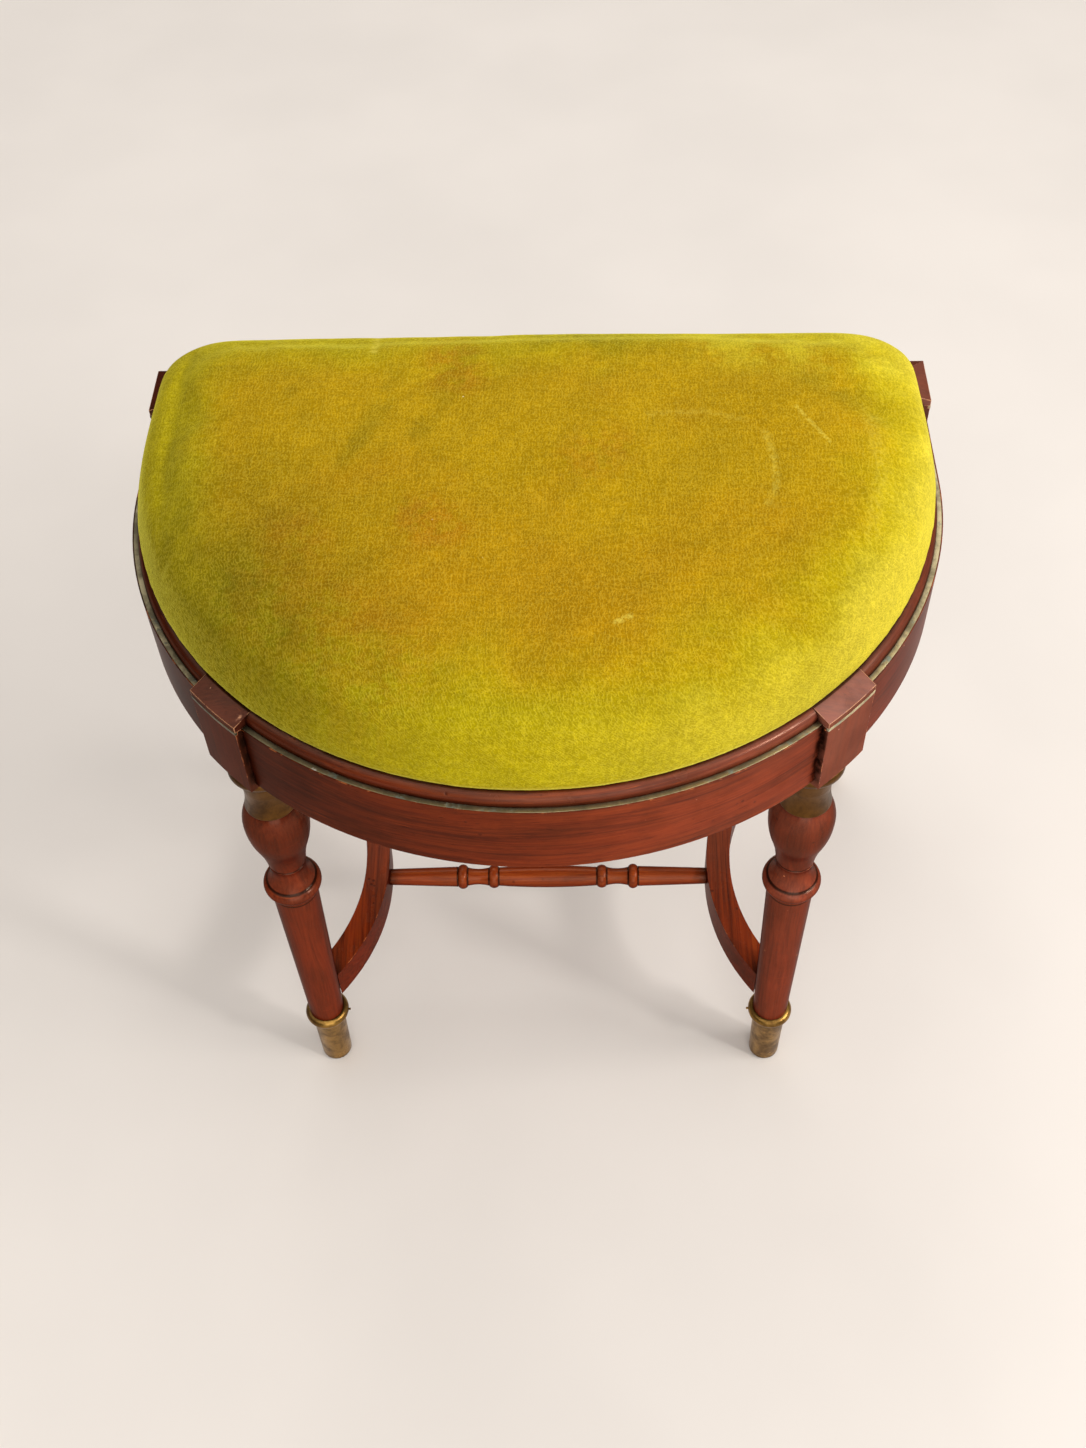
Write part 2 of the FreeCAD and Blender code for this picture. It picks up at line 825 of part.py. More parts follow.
# Turned cross stretcher, drawn from its middle to one end and mirrored


def both_halves(right, middle_curve):
    """A profile that is the same on both sides, joined by an arc across its middle."""
    left = []
    for corner, before in zip(right[:0:-1], right[-2::-1]):
        left.append(Corner(0 - corner.x, corner.y, before.radius, before.turn))
    left.append(Corner(0 - right[0].x, right[0].y, middle_curve, -1))
    return left + right


def cross_profile():
    """Outline of radius along the cross stretcher, closed along its axis."""
    half_bead = s.cross_bead_width / 2
    root_radius = s.cross_root_radius
    end_radius = s.cross_tenon_radius + s.cross_end_shoulder
    inner_start = s.cross_inner_bead_centre - half_bead
    inner_end = s.cross_inner_bead_centre + half_bead
    outer_start = s.cross_outer_bead_centre - half_bead
    outer_end = s.cross_outer_bead_centre + half_bead
    cove_bow = bow(s.cross_cove_depth, (outer_start - inner_end) / 2)
    tip = stretcher_inner + s.cross_tenon_length
    right = [
        Corner(inner_start, root_radius, bow(s.cross_inner_bead_rise, half_bead), -1),
        Corner(inner_end, root_radius, cove_bow, 1),
        Corner(outer_start, root_radius, bow(s.cross_outer_bead_rise, half_bead), -1),
        Corner(outer_end, root_radius),
        Corner(outer_end, end_radius + s.cross_end_taper),
        Corner(stretcher_inner, end_radius),
        Corner(stretcher_inner, s.cross_tenon_radius),
        Corner(tip, s.cross_tenon_radius),
        Corner(tip, 0),
    ]
    return both_halves(right, bow(s.cross_middle_rise, inner_start))


cross = new_body("cross_stretcher", None, cross_y, stretcher_middle)
cross_sketch = draw(add_sketch(cross, "XZ_Plane"), cross_profile())
cross_turning = cross.newObject("PartDesign::Revolution", "cross_stretcher_turning")
cross_turning.Profile = cross_sketch
cross_turning.ReferenceAxis = (cross_sketch, ["H_Axis"])
cross_turning.Angle = 360.0
keep(cross, "cross_stretcher")

# Turned legs, brass collars and brass ferrules, on four axes


def leg_profile():
    """Radius against height of the wooden leg."""
    ring_bow = bow(s.ring_rise, half_ring)
    foot_bow = bow_between(s.ring_foot_sag, s.ring_root_step, s.ring_foot_height)
    flare_bow = bow_between(s.flare_sag, flare_radius - groove_radius,
                            groove_base - ring_top - s.ring_edge)
    throat_bow = bow_between(s.throat_sag, waist_radius - groove_radius, s.throat_length)
    return [
        Corner(0, s.ferrule_floor),
        Corner(s.toe_radius, s.ferrule_floor),
        Corner(s.toe_radius, s.ferrule_height),
        Corner(shaft_low_radius, s.ferrule_height),
        Corner(s.shaft_top_radius, shaft_top, foot_bow, -1),
        Corner(ring_root_radius, ring_base, ring_bow, 1),
        Corner(ring_root_radius, ring_top),
        Corner(flare_radius, ring_top + s.ring_edge, flare_bow, -1),
        Corner(groove_radius, groove_base),
        Corner(s.neck_radius, groove_base + s.groove_width / 2),
        Corner(groove_radius, groove_top, throat_bow, -1),
        Corner(waist_radius, waist_level, bow(s.waist_drop, s.vase_lower_length), 1),
        Corner(vase_radius, vase_level, bow(s.vase_swell, s.vase_upper_length), 1),
        Corner(shoulder_radius, skirt_base),
        Corner(s.collar_seat_radius, taper_top),
        Corner(s.collar_seat_radius, collar_base),
        Corner(s.spigot_radius, collar_base),
        Corner(s.spigot_radius, spigot_end),
        Corner(0, spigot_end),
    ]


def collar_profile():
    """Radius against height of the brass collar: a thick ring over a thin flared skirt."""
    bore = s.spigot_radius + s.socket_clearance
    neck = s.collar_seat_radius + s.collar_wall
    ring_root = neck + s.collar_ring_step
    middle = block_base - s.collar_ring_drop
    half = s.collar_ring_thickness / 2
    edge = ring_root - s.collar_edge
    hem = shoulder_radius + s.skirt_skin
    hem_level = skirt_base + s.skirt_hem
    skirt_top = skirt_base + s.skirt_rise
    skirt_bow = bow_between(s.skirt_sag, hem - neck, skirt_top - hem_level)
    cove_bow = bow_between(s.collar_cove_sag, edge - neck, s.collar_cove_height)
    return [
        Corner(bore, collar_base),
        Corner(s.collar_seat_radius, collar_base),
        Corner(s.collar_seat_radius, taper_top),
        Corner(shoulder_radius, skirt_base),
        Corner(hem, hem_level, skirt_bow, -1),
        Corner(neck, skirt_top),
        Corner(neck, middle - half - s.collar_edge - s.collar_cove_height, cove_bow, -1),
        Corner(edge, middle - half - s.collar_edge),
        Corner(ring_root, middle - half, bow(s.collar_ring_rise, half), 1),
        Corner(ring_root, middle + half),
        Corner(ring_root, block_base),
        Corner(bore, block_base),
    ]


ferrule_bore = s.toe_radius + s.toe_clearance
ferrule_foot_radius = ferrule_bore + s.ferrule_wall
ferrule_neck_radius = ferrule_foot_radius + s.ferrule_taper
ferrule_root_radius = ferrule_neck_radius + s.ferrule_ring_step
ferrule_ring_radius = ferrule_root_radius + s.ferrule_ring_rise
ferrule_ring_top = s.ferrule_height - s.ferrule_lip
ferrule_ring_base = ferrule_ring_top - s.ferrule_ring_thickness


def ferrule_profile():
    """Radius against height of the brass ferrule: a cup with a rolled ring at its mouth."""
    ring_bow = bow(s.ferrule_ring_rise, s.ferrule_ring_thickness / 2)
    cove_bow = bow_between(s.ferrule_cove_sag, s.ferrule_ring_step, s.ferrule_cove_height)
    return [
        Corner(0, 0),
        Corner(ferrule_foot_radius - s.ferrule_foot_round, 0, s.ferrule_foot_round, 1),
        Corner(ferrule_foot_radius, s.ferrule_foot_round),
        Corner(ferrule_neck_radius, ferrule_ring_base - s.ferrule_cove_height, cove_bow, -1),
        Corner(ferrule_root_radius, ferrule_ring_base, ring_bow, 1),
        Corner(ferrule_root_radius, ferrule_ring_top),
        Corner(ferrule_root_radius - s.ferrule_lip_step, s.ferrule_height),
        Corner(ferrule_bore, s.ferrule_height),
        Corner(ferrule_bore, s.ferrule_floor),
        Corner(0, s.ferrule_floor),
    ]


def add_pin_hole(body, side):
    """Bore a small hole for the nail, towards the middle of the stool."""
    sketch = draw(add_sketch(body, "YZ_Plane"),
                  circle_of_arcs(as_size(0), pin_height, s.pin_radius))
    pocket = body.newObject("PartDesign::Pocket", body.Name + "_pin_hole")
    pocket.Profile = sketch
    pocket.Type = "ThroughAll"
    pocket.Reversed = side == -1


pin_height = ferrule_ring_base + s.ferrule_ring_thickness / 2
pin_outer_end = ferrule_ring_radius + s.pin_proud
pin_inner_end = s.toe_radius - s.pin_bite
pins = []
for place_word, sweep in SWEEPS:
    for side, word in SIDES:
        corner_name = f"{place_word}_{word}"
        here = (side * sweep.leg_x, sweep.leg_y)
        leg = new_body(f"leg_{corner_name}", *here)
        add_turning(leg, leg_profile())
        mortise = stretcher_tenon(as_size(0), as_size(0), sweep, s.mortise_mouth, side)
        add_pocket(leg, mortise, stretcher_tenon_top, stretcher_tenon_height)
        add_pin_hole(leg, side)
        keep(leg, f"leg_{corner_name}")
        collar = new_body(f"collar_{corner_name}", *here)
        add_turning(collar, collar_profile())
        keep(collar, f"collar_{corner_name}")
        ferrule = new_body(f"ferrule_{corner_name}", *here)
        add_turning(ferrule, ferrule_profile())
        add_pin_hole(ferrule, side)
        keep(ferrule, f"ferrule_{corner_name}")
        pin = doc.addObject("Part::Cylinder", f"pin_{corner_name}")
        pin.Placement = Placement(Vector(0, 0, 0), Rotation(Vector(0, 1, 0), 90))
        bind(pin, "Radius", s.pin_radius)
        bind(pin, "Height", pin_outer_end - pin_inner_end)
        start = sweep.leg_x - pin_outer_end if side == 1 else pin_inner_end - sweep.leg_x
        place(pin, start, sweep.leg_y, pin_height)
        pins.append(pin)
group("ferrule_pins", pins)

# Glued corner blocks between each rail and the block it joins

glue_top = s.rail_top - s.glue_block_drop
glue_base = glue_top - s.glue_block_height


def glue_block(name, corners):
    """One triangular block, as tall as the rail allows."""
    return plate(name, corners, glue_base, s.glue_block_height)


def front_glue_outline(sign, side):
    """Triangle between a curved rail's inner face and the side of a front block."""
    touch_x, touch_y = beside_block(rail_inner, sign * half_block)
    step_x = block_back * out_x + sign * half_block * out_y
    step_y = sign * half_block * out_x - block_back * out_y
    reach = sign * (half_block + s.glue_block_reach)
    far_x, far_y = beside_block(rail_inner, reach)
    corners = [Corner(touch_x, touch_y, rail_inner, sign), Corner(far_x, far_y),
               Corner(step_x, step_y)]
    return mirrored(corners, side)


def rear_glue_outlines(side):
    """Triangles at a rear block, one on the back rail and one on the side rail."""
    back_inner = back_rail_face - s.rail_thickness
    on_back = [
        Corner(block_back, rear_block_front),
        Corner(block_back, back_inner),
        Corner(block_back - s.glue_block_reach, back_inner),
    ]
    on_side = [
        Corner(block_back, rear_block_front),
        Corner(rail_inner, rear_block_front - s.glue_block_reach),
        Corner(rail_inner, rear_block_front),
    ]
    return mirrored(on_back, side), mirrored(on_side, side)


front_glue = []
rear_glue = []
for side, word in SIDES:
    for sign in (-1, 1):
        outline = front_glue_outline(sign, side)
        front_glue.append(glue_block(f"front_glue_{word}_{len(front_glue)}", outline))
    for outline in rear_glue_outlines(side):
        rear_glue.append(glue_block(f"rear_glue_{word}_{len(rear_glue)}", outline))
group("front_glue_blocks", front_glue)
group("rear_glue_blocks", rear_glue)

# Drop-in seat: a wooden frame, webbing, hessian, stuffing and a velvet cover

seat_edge = bead_back - s.seat_side_gap
seat_back = back_rail_face - bead_inner - s.seat_side_gap
seat_base = s.rail_top + s.seat_rest_gap
frame_edge = seat_edge - s.cover_thickness
frame_back = seat_back - s.cover_thickness
frame_inner = frame_edge - s.frame_width
frame_base = seat_base + s.cover_thickness
frame_top = frame_base + s.frame_thickness
web_top = frame_top + s.web_thickness
hessian_base = web_top + s.web_thickness
stuffing_base = hessian_base + s.hessian_thickness


def seat_outline(edge, back, corner_radius, forward=0):
    """Half round front, straight sides and back, and rounded rear corners."""
    left = 0 - edge
    middle = as_size(0 - forward)
    return [
        Corner(0, middle - edge, edge, 1),
        Corner(edge, middle),
        Corner(edge, back - corner_radius, corner_radius, 1),
        Corner(edge - corner_radius, back),
        Corner(left + corner_radius, back, corner_radius, 1),
        Corner(left, back - corner_radius),
        Corner(left, middle, edge, 1),
    ]


diagonal = math.sqrt(0.5)
front_piece = [
    Corner(0 - frame_edge * diagonal, 0 - frame_edge * diagonal, frame_edge, 1),
    Corner(frame_edge * diagonal, 0 - frame_edge * diagonal),
    Corner(frame_inner * diagonal, 0 - frame_inner * diagonal, frame_inner, -1),
    Corner(0 - frame_inner * diagonal, 0 - frame_inner * diagonal),
]
keep(plate("seat_frame_front", front_piece, frame_base, s.frame_thickness), "seat_frame_front")
for side, word in SIDES:
    outline = [
        Corner(frame_edge * diagonal, 0 - frame_edge * diagonal, frame_edge, 1),
        Corner(frame_edge, 0),
        Corner(frame_edge, frame_back - s.pad_corner_radius, s.pad_corner_radius, 1),
        Corner(frame_edge - s.pad_corner_radius, frame_back),
        Corner(frame_inner, frame_back),
        Corner(frame_inner, 0, frame_inner, -1),
        Corner(frame_inner * diagonal, 0 - frame_inner * diagonal),
    ]
    name = f"seat_frame_{word}"
    keep(plate(name, mirrored(outline, side), frame_base, s.frame_thickness), name)
back_piece = [
    Corner(0 - frame_inner, frame_back - s.frame_width),
    Corner(frame_inner, frame_back - s.frame_width),
    Corner(frame_inner, frame_back),
    Corner(0 - frame_inner, frame_back),
]
keep(plate("seat_frame_back", back_piece, frame_base, s.frame_thickness), "seat_frame_back")


# Webbing: straps whose ends follow the outer edge of the seat frame

half_web = s.web_width / 2
web_reach = frame_edge - s.web_end_gap
web_back_end = frame_back - s.web_end_gap


def on_web_curve(offset):
    """How far a line at this offset from the middle runs to the curve on which straps end."""
    return root(squared(web_reach) - squared(offset))


lengthwise = []
lengthwise_spacing = 2 * (frame_inner - s.web_side_margin - half_web) / (WEBS_FRONT_TO_BACK - 1)
for number in range(WEBS_FRONT_TO_BACK):
    centre = (number - (WEBS_FRONT_TO_BACK - 1) / 2) * lengthwise_spacing
    low = centre - half_web
    high = centre + half_web
    outline = [
        Corner(low, 0 - on_web_curve(low), web_reach, 1),
        Corner(high, 0 - on_web_curve(high)),
        Corner(high, web_back_end),
        Corner(low, web_back_end),
    ]
    lengthwise.append(plate(f"front_web_{number}", outline, frame_top, s.web_thickness))
group("webbing_front_to_back", lengthwise)
crosswise = []
rearmost_centre = frame_back - s.frame_width - s.web_back_margin - half_web
foremost_centre = s.web_front_margin + half_web - frame_inner
for number in range(WEBS_SIDE_TO_SIDE):
    share = number / (WEBS_SIDE_TO_SIDE - 1)
    centre = rearmost_centre + (foremost_centre - rearmost_centre) * share
    low = centre - half_web
    high = centre + half_web
    if number == 0:
        outline = [
            Corner(0 - web_reach, low),
            Corner(web_reach, low),
            Corner(web_reach, high),
            Corner(0 - web_reach, high),
        ]
    else:
        outline = [
            Corner(0 - on_web_curve(low), low),
            Corner(on_web_curve(low), low, web_reach, 1),
            Corner(on_web_curve(high), high),
            Corner(0 - on_web_curve(high), high, web_reach, 1),
        ]
    crosswise.append(plate(f"side_web_{number}", outline, web_top, s.web_thickness))
group("webbing_side_to_side", crosswise)

hessian_edge = frame_edge - s.hessian_inset
hessian_outline = seat_outline(hessian_edge, frame_back - s.hessian_inset,
                               s.pad_corner_radius - s.hessian_inset)
keep(plate("hessian", hessian_outline, hessian_base, s.hessian_thickness), "hessian")

# The pad's sections from the top of the moulding up. Each has its share of the bulge of the sides,
# of the crown's reach inwards, of the growth of its rear corners, of the crown's shift forward, and
# of the height up to the crown.
PAD_SECTIONS = (
    (0.10, 0.0, 0.0, 0.0, 0.0),
    (0.82, 0.0, 0.0, 0.0, 0.028),
    (1.0, 0.0, 0.03, 0.0, 0.113),
    (0.91, 0.0, 0.08, 0.0, 0.245),
    (0.56, 0.0, 0.19, 0.0, 0.415),
    (0.09, 0.0, 0.39, 0.0, 0.604),
    (0.0, 0.02, 0.61, 0.0, 0.745),
    (0.0, 0.055, 0.83, 0.0, 0.845),
    (0.0, 0.14, 1.0, 0.0, 0.917),
    (0.0, 0.38, 0.6, 0.25, 0.97),
    (0.0, 1.0, 0.28, 1.0, 1.0),
)


def crowned_form(name, skin):
    """Pad with full sides and a crown, inside a skin of this thickness."""
    body = new_body(name)
    moulding_top = s.rail_top + s.bead_height
    crown_rise = s.crown_height - s.bead_height - skin
    levels = [(0 - skin, as_size(0), as_size(0), seat_base + skin)]
    for bulge, inward, corner, forward, share in PAD_SECTIONS:
        levels.append((bulge * s.pad_bulge - inward * s.crown_reach - skin,
                       corner * s.pad_corner_growth, forward * s.crown_forward,
                       moulding_top + share * crown_rise))
    sections = []
    for out, growth, forward, height in levels:
        edge = seat_edge + out
        corner_radius = (s.pad_corner_radius + growth) * (edge / seat_edge)
        outline = seat_outline(edge, seat_back + out, corner_radius, forward)
        sections.append(draw(add_sketch(body, "XY_Plane", height), outline))
    loft = body.newObject("PartDesign::AdditiveLoft", name + "_loft")
    loft.Profile = sections[0]
    loft.Sections = sections[1:]
    loft.Ruled = True
    return body


def cut(name, base, tool):
    """What is left of base when tool is taken away."""
    result = doc.addObject("Part::Cut", name)
    result.Base = base
    result.Tool = tool
    return result


cover_outside = crowned_form("cover_outside", as_size(0))
cover_inside = crowned_form("cover_inside", s.cover_thickness)
opening_outline = seat_outline(seat_edge - s.cover_turn_under, seat_back - s.cover_turn_under,
                               s.opening_corner_radius)
cover_opening = plate("cover_opening", opening_outline, seat_base - s.cutter_reach,
                      s.cover_thickness + 2 * s.cutter_reach)
hollow_cover = cut("hollow_cover", cover_outside, cover_inside)
keep(cut("velvet_cover", hollow_cover, cover_opening), "velvet_cover")

stuffing_form = crowned_form("stuffing_form", s.cover_thickness)
below_outline = seat_outline(seat_edge + s.cutter_margin, seat_back + s.cutter_margin,
                             s.pad_corner_radius)
below_base = seat_base - s.cutter_margin
below_stuffing = plate("below_stuffing", below_outline, below_base, stuffing_base - below_base)
keep(cut("stuffing", stuffing_form, below_stuffing), "stuffing")

dust_edge = block_back - s.well_clearance
dust_back = back_rail_face - s.rail_thickness - s.well_clearance
dust_base = seat_base - s.dust_cover_thickness
dust_outline = seat_outline(dust_edge, dust_back, s.dust_cover_corner_radius)
keep(plate("dust_cover", dust_outline, dust_base, s.dust_cover_thickness), "dust_cover")

# Tacks that hold the cover and the dust cover under the seat frame

tack_edge = dust_edge - s.tack_inset
tack_back = dust_back - s.tack_inset

def tack(name, x, y):
    """One tack with a flat head, driven upwards."""
    body = new_body(name, x, y)
    head_top = dust_base
    head_base = dust_base - s.tack_head_thickness
    profile = [
        Corner(0, head_base),
        Corner(s.tack_head_radius, head_base),
        Corner(s.tack_head_radius, head_top),
        Corner(s.tack_shank_radius, head_top),
        Corner(s.tack_shank_radius, head_base + s.tack_length),
        Corner(0, head_base + s.tack_length),
    ]
    add_turning(body, profile)
    return body


back_row_reach = dust_edge - 2 * s.dust_cover_corner_radius
tacks = []
for number in range(TACKS_ON_CURVE):
    angle = Size(-90 + 180 * number / (TACKS_ON_CURVE - 1))
    tacks.append(tack(f"curve_tack_{number}", tack_edge * sine(angle), 0 - tack_edge * cosine(angle)))
for number in range(TACKS_ON_BACK):
    share = 2 * number / (TACKS_ON_BACK - 1) - 1
    tacks.append(tack(f"back_tack_{number}", back_row_reach * share, tack_back))
group("cover_tacks", tacks)

# Every object is checked, and each sub-part goes to its own file

doc.recompute()
for item in doc.Objects:
    for word in ("Invalid", "Error"):
        if word in item.State:
            raise RuntimeError(f"{item.Label} is {word}")
os.makedirs("parts", exist_ok=True)
for node in NODES:
    if node.Shape.isNull() or not node.Shape.isValid():
        raise RuntimeError(f"{node.Label} has no valid shape")
    node.Shape.exportStep(os.path.join("parts", node.Label + ".step"))
print(len(NODES), "sub-parts written")
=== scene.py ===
import logging
import math
from dataclasses import dataclass, field
from enum import Enum
from functools import partial, reduce

import bmesh
import bpy
from mathutils import Matrix, Vector, noise


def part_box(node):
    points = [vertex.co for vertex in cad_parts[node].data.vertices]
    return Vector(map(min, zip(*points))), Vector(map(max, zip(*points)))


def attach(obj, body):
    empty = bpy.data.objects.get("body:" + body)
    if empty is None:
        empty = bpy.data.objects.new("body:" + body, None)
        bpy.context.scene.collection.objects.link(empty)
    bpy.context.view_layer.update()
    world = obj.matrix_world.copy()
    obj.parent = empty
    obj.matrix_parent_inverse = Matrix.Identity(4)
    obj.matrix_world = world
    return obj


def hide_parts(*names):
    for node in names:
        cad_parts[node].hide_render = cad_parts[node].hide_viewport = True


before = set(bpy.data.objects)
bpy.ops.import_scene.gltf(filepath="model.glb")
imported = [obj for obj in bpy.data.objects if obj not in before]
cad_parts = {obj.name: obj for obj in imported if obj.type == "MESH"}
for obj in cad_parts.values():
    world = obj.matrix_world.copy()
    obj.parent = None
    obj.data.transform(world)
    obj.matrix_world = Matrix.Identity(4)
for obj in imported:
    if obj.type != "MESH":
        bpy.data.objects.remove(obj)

LOG = logging.getLogger("stool")
Socket = bpy.types.NodeSocket
Value = Socket | float | tuple
Colour = tuple[float, float, float]
Spot = tuple[float, float, float]

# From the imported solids: the top of the bead moulding, and the circle that the rails follow
BEAD_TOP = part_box("front_bead")[1].z
RAIL_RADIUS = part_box("side_rail_right")[1].x
CURVE_CENTRE_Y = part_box("front_rail")[0].y + RAIL_RADIUS


def linear(red: int, green: int, blue: int) -> Colour:
    """Turn a screen colour from 0 to 255 into the linear colour a shader takes.

    Args:
        red: Red part.
        green: Green part.
        blue: Blue part.

    Returns:
        The linear colour.
    """
    parts = []
    for part in (red, green, blue):
        share = part / 255
        parts.append(share / 12.92 if share < 0.04045 else ((share + 0.055) / 1.055) ** 2.4)
    return parts[0], parts[1], parts[2]


def paired(*pieces: str) -> tuple[str, ...]:
    """Name the left and the right one of each piece."""
    return tuple(f"{piece}_{side}" for piece in pieces for side in ("left", "right"))


class Grain(Enum):
    """Which way the grain of a wooden piece runs: the axis along it, then the other two."""

    ROUND_THE_SEAT = ()
    UPRIGHT = (2, 0, 1)
    SIDE_TO_SIDE = (0, 1, 2)
    FRONT_TO_BACK = (1, 0, 2)


@dataclass(frozen=True)
class Mark:
    """A short straight mark of wear, stain, painted shade or painted light, with half its width
    and how strong it is.
    """

    start: Spot
    end: Spot
    width: float
    strength: float


def flat_marks(*rows: tuple[float, ...]) -> tuple[Mark, ...]:
    """Make marks that are seen from above.

    Args:
        rows: For each mark, x and y of its start and of its end, half its width, its strength.

    Returns:
        The marks.
    """
    return tuple(Mark((x, y, 0.0), (end_x, end_y, 0.0), width, strength)
                 for x, y, end_x, end_y, width, strength in rows)


def upright_marks(top: float, base: float, *rows: tuple[float, ...]) -> tuple[Mark, ...]:
    """Make upright marks of one height.

    Args:
        top: Where they start.
        base: Where they end.
        rows: For each mark, its x and y, half its width, its strength.

    Returns:
        The marks.
    """
    return tuple(Mark((x, y, top), (x, y, base), width, strength)
                 for x, y, width, strength in rows)


class NodeBench:
    """Adds nodes to one tree and joins them up."""

    def __init__(self, tree: bpy.types.NodeTree) -> None:
        """Take the tree of a material or of a node group."""
        self.tree = tree

    def add(self, kind: str, **settings: object) -> bpy.types.Node:
        """Add a node.

        Args:
            kind: Blender's name for the node.
            settings: Properties to set on it.

        Returns:
            The new node.
        """
        node = self.tree.nodes.new(kind)
        for name, value in settings.items():
            setattr(node, name, value)
        return node

    def feed(self, socket: Socket, value: Value) -> None:
        """Set an input, or link something to it.

        Args:
            socket: The input.
            value: A number, a vector, a colour or another node's output.
        """
        if isinstance(value, bpy.types.NodeSocket):
            self.tree.links.new(value, socket)
        elif isinstance(value, tuple) and len(value) == 3 and socket.type == "RGBA":
            socket.default_value = (*value, 1.0)
        else:
            socket.default_value = value

    def fill(self, node: bpy.types.Node, **values: Value) -> bpy.types.Node:
        """Set or link several inputs of a node.

        Args:
            node: The node.
            values: Its inputs by name, with underscores for spaces.

        Returns:
            The node.
        """
        for name, value in values.items():
            self.feed(node.inputs[name.replace("_", " ")], value)
        return node

    def use(self, group: bpy.types.NodeTree, **values: Value) -> bpy.types.NodeOutputs:
        """Place a shared effect and give its outputs."""
        return self.fill(self.add("ShaderNodeGroup", node_tree=group), **values).outputs

    def math(self, operation: str, *numbers: Value, clamp: bool = False) -> Socket:
        """Work out a number.

        Args:
            operation: Blender's name for the sum.
            numbers: The numbers that it takes.
            clamp: Whether the result is kept between 0 and 1.

        Returns:
            The result.
        """
        node = self.add("ShaderNodeMath", operation=operation, use_clamp=clamp)
        for socket, number in zip(node.inputs, numbers):
            self.feed(socket, number)
        return node.outputs[0]

    def plus(self, *numbers: Value) -> Socket:
        """Add numbers up."""
        return reduce(partial(self.math, "ADD"), numbers)

    def minus(self, *numbers: Value) -> Socket:
        """Take the later numbers from the first."""
        return reduce(partial(self.math, "SUBTRACT"), numbers)

    def times(self, *numbers: Value) -> Socket:
        """Multiply numbers."""
        return reduce(partial(self.math, "MULTIPLY"), numbers)

    def largest(self, *numbers: Value) -> Socket:
        """Keep the largest of several numbers."""
        return reduce(partial(self.math, "MAXIMUM"), numbers)

    def apart(self, first: Value, second: Value) -> Socket:
        """How far two numbers are apart."""
        return self.math("ABSOLUTE", self.minus(first, second))

    def vector(self, operation: str, *vectors: Value) -> Socket:
        """Work out a vector, or the number that some sums give.

        Args:
            operation: Blender's name for the sum.
            vectors: The vectors that it takes.

        Returns:
            The result.
        """
        node = self.add("ShaderNodeVectorMath", operation=operation)
        for socket, vector in zip(node.inputs, vectors):
            self.feed(socket, vector)
        return node.outputs["Value" if operation in ("DOT_PRODUCT", "LENGTH") else "Vector"]

    def between(self, value: Value, low: float, high: float, start: float = 0.0,
                end: float = 1.0) -> Socket:
        """Spread a range smoothly over another one.

        Args:
            value: Number to spread.
            low: Where the range starts.
            high: Where the range ends.
            start: Result at the start.
            end: Result at the end.

        Returns:
            The result, kept between start and end.
        """
        node = self.add("ShaderNodeMapRange", interpolation_type="SMOOTHSTEP")
        return self.fill(node, Value=value, From_Min=low, From_Max=high, To_Min=start,
                         To_Max=end).outputs[0]

    def blend(self, share: Value, first: Value, second: Value, kind: str = "MIX") -> Socket:
        """Mix two colours.

        Args:
            share: How much of the second, from 0 to 1.
            first: First colour.
            second: Second colour.
            kind: Blender's name for the way they mix.

        Returns:
            The mixed colour.
        """
        node = self.add("ShaderNodeMix", data_type="RGBA", blend_type=kind)
        colour_inputs = (0, 6, 7)
        for index, value in zip(colour_inputs, (share, first, second)):
            self.feed(node.inputs[index], value)
        return node.outputs[2]

    def noise(self, place: Value, scale: float | tuple, detail: float = 3.0,
              roughness: float = 0.5, distortion: float = 0.0) -> Socket:
        """Soft random values.

        Args:
            place: Where in space.
            scale: Patches in a metre, all round or along each axis.
            detail: How many finer layers.
            roughness: How strong the finer layers are.
            distortion: How far the patches are bent.

        Returns:
            Values from about 0.2 to 0.8.
        """
        if isinstance(scale, tuple):
            place, scale = self.vector("MULTIPLY", place, scale), 1.0
        node = self.add("ShaderNodeTexNoise", normalize=True)
        return self.fill(node, Vector=place, Scale=scale, Detail=detail, Roughness=roughness,
                         Distortion=distortion).outputs["Fac"]

    def spots(self, place: Value, scale: float, near: float, far: float) -> Socket:
        """Scattered round spots.

        Args:
            place: Where in space.
            scale: Spots in a metre.
            near: Share of the spacing that a spot fills.
            far: Share of the spacing where it has faded.

        Returns:
            A mask that is 1 on the spots.
        """
        node = self.fill(self.add("ShaderNodeTexVoronoi"), Vector=place, Scale=scale)
        return self.between(node.outputs["Distance"], near, far, 1.0, 0.0)

    def split(self, place: Value) -> tuple[Socket, ...]:
        """Take a vector apart."""
        return tuple(self.fill(self.add("ShaderNodeSeparateXYZ"), Vector=place).outputs)

    def join(self, x: Value, y: Value, z: Value) -> Socket:
        """Put a vector together."""
        return self.fill(self.add("ShaderNodeCombineXYZ"), X=x, Y=y, Z=z).outputs[0]

    def shade(self, colour: Value, *shares: Value) -> Socket:
        """Make a colour darker or lighter.

        Args:
            colour: The colour.
            shares: What it is multiplied by.

        Returns:
            The changed colour.
        """
        share = self.times(*shares)
        return self.vector("MULTIPLY", colour, self.join(share, share, share))

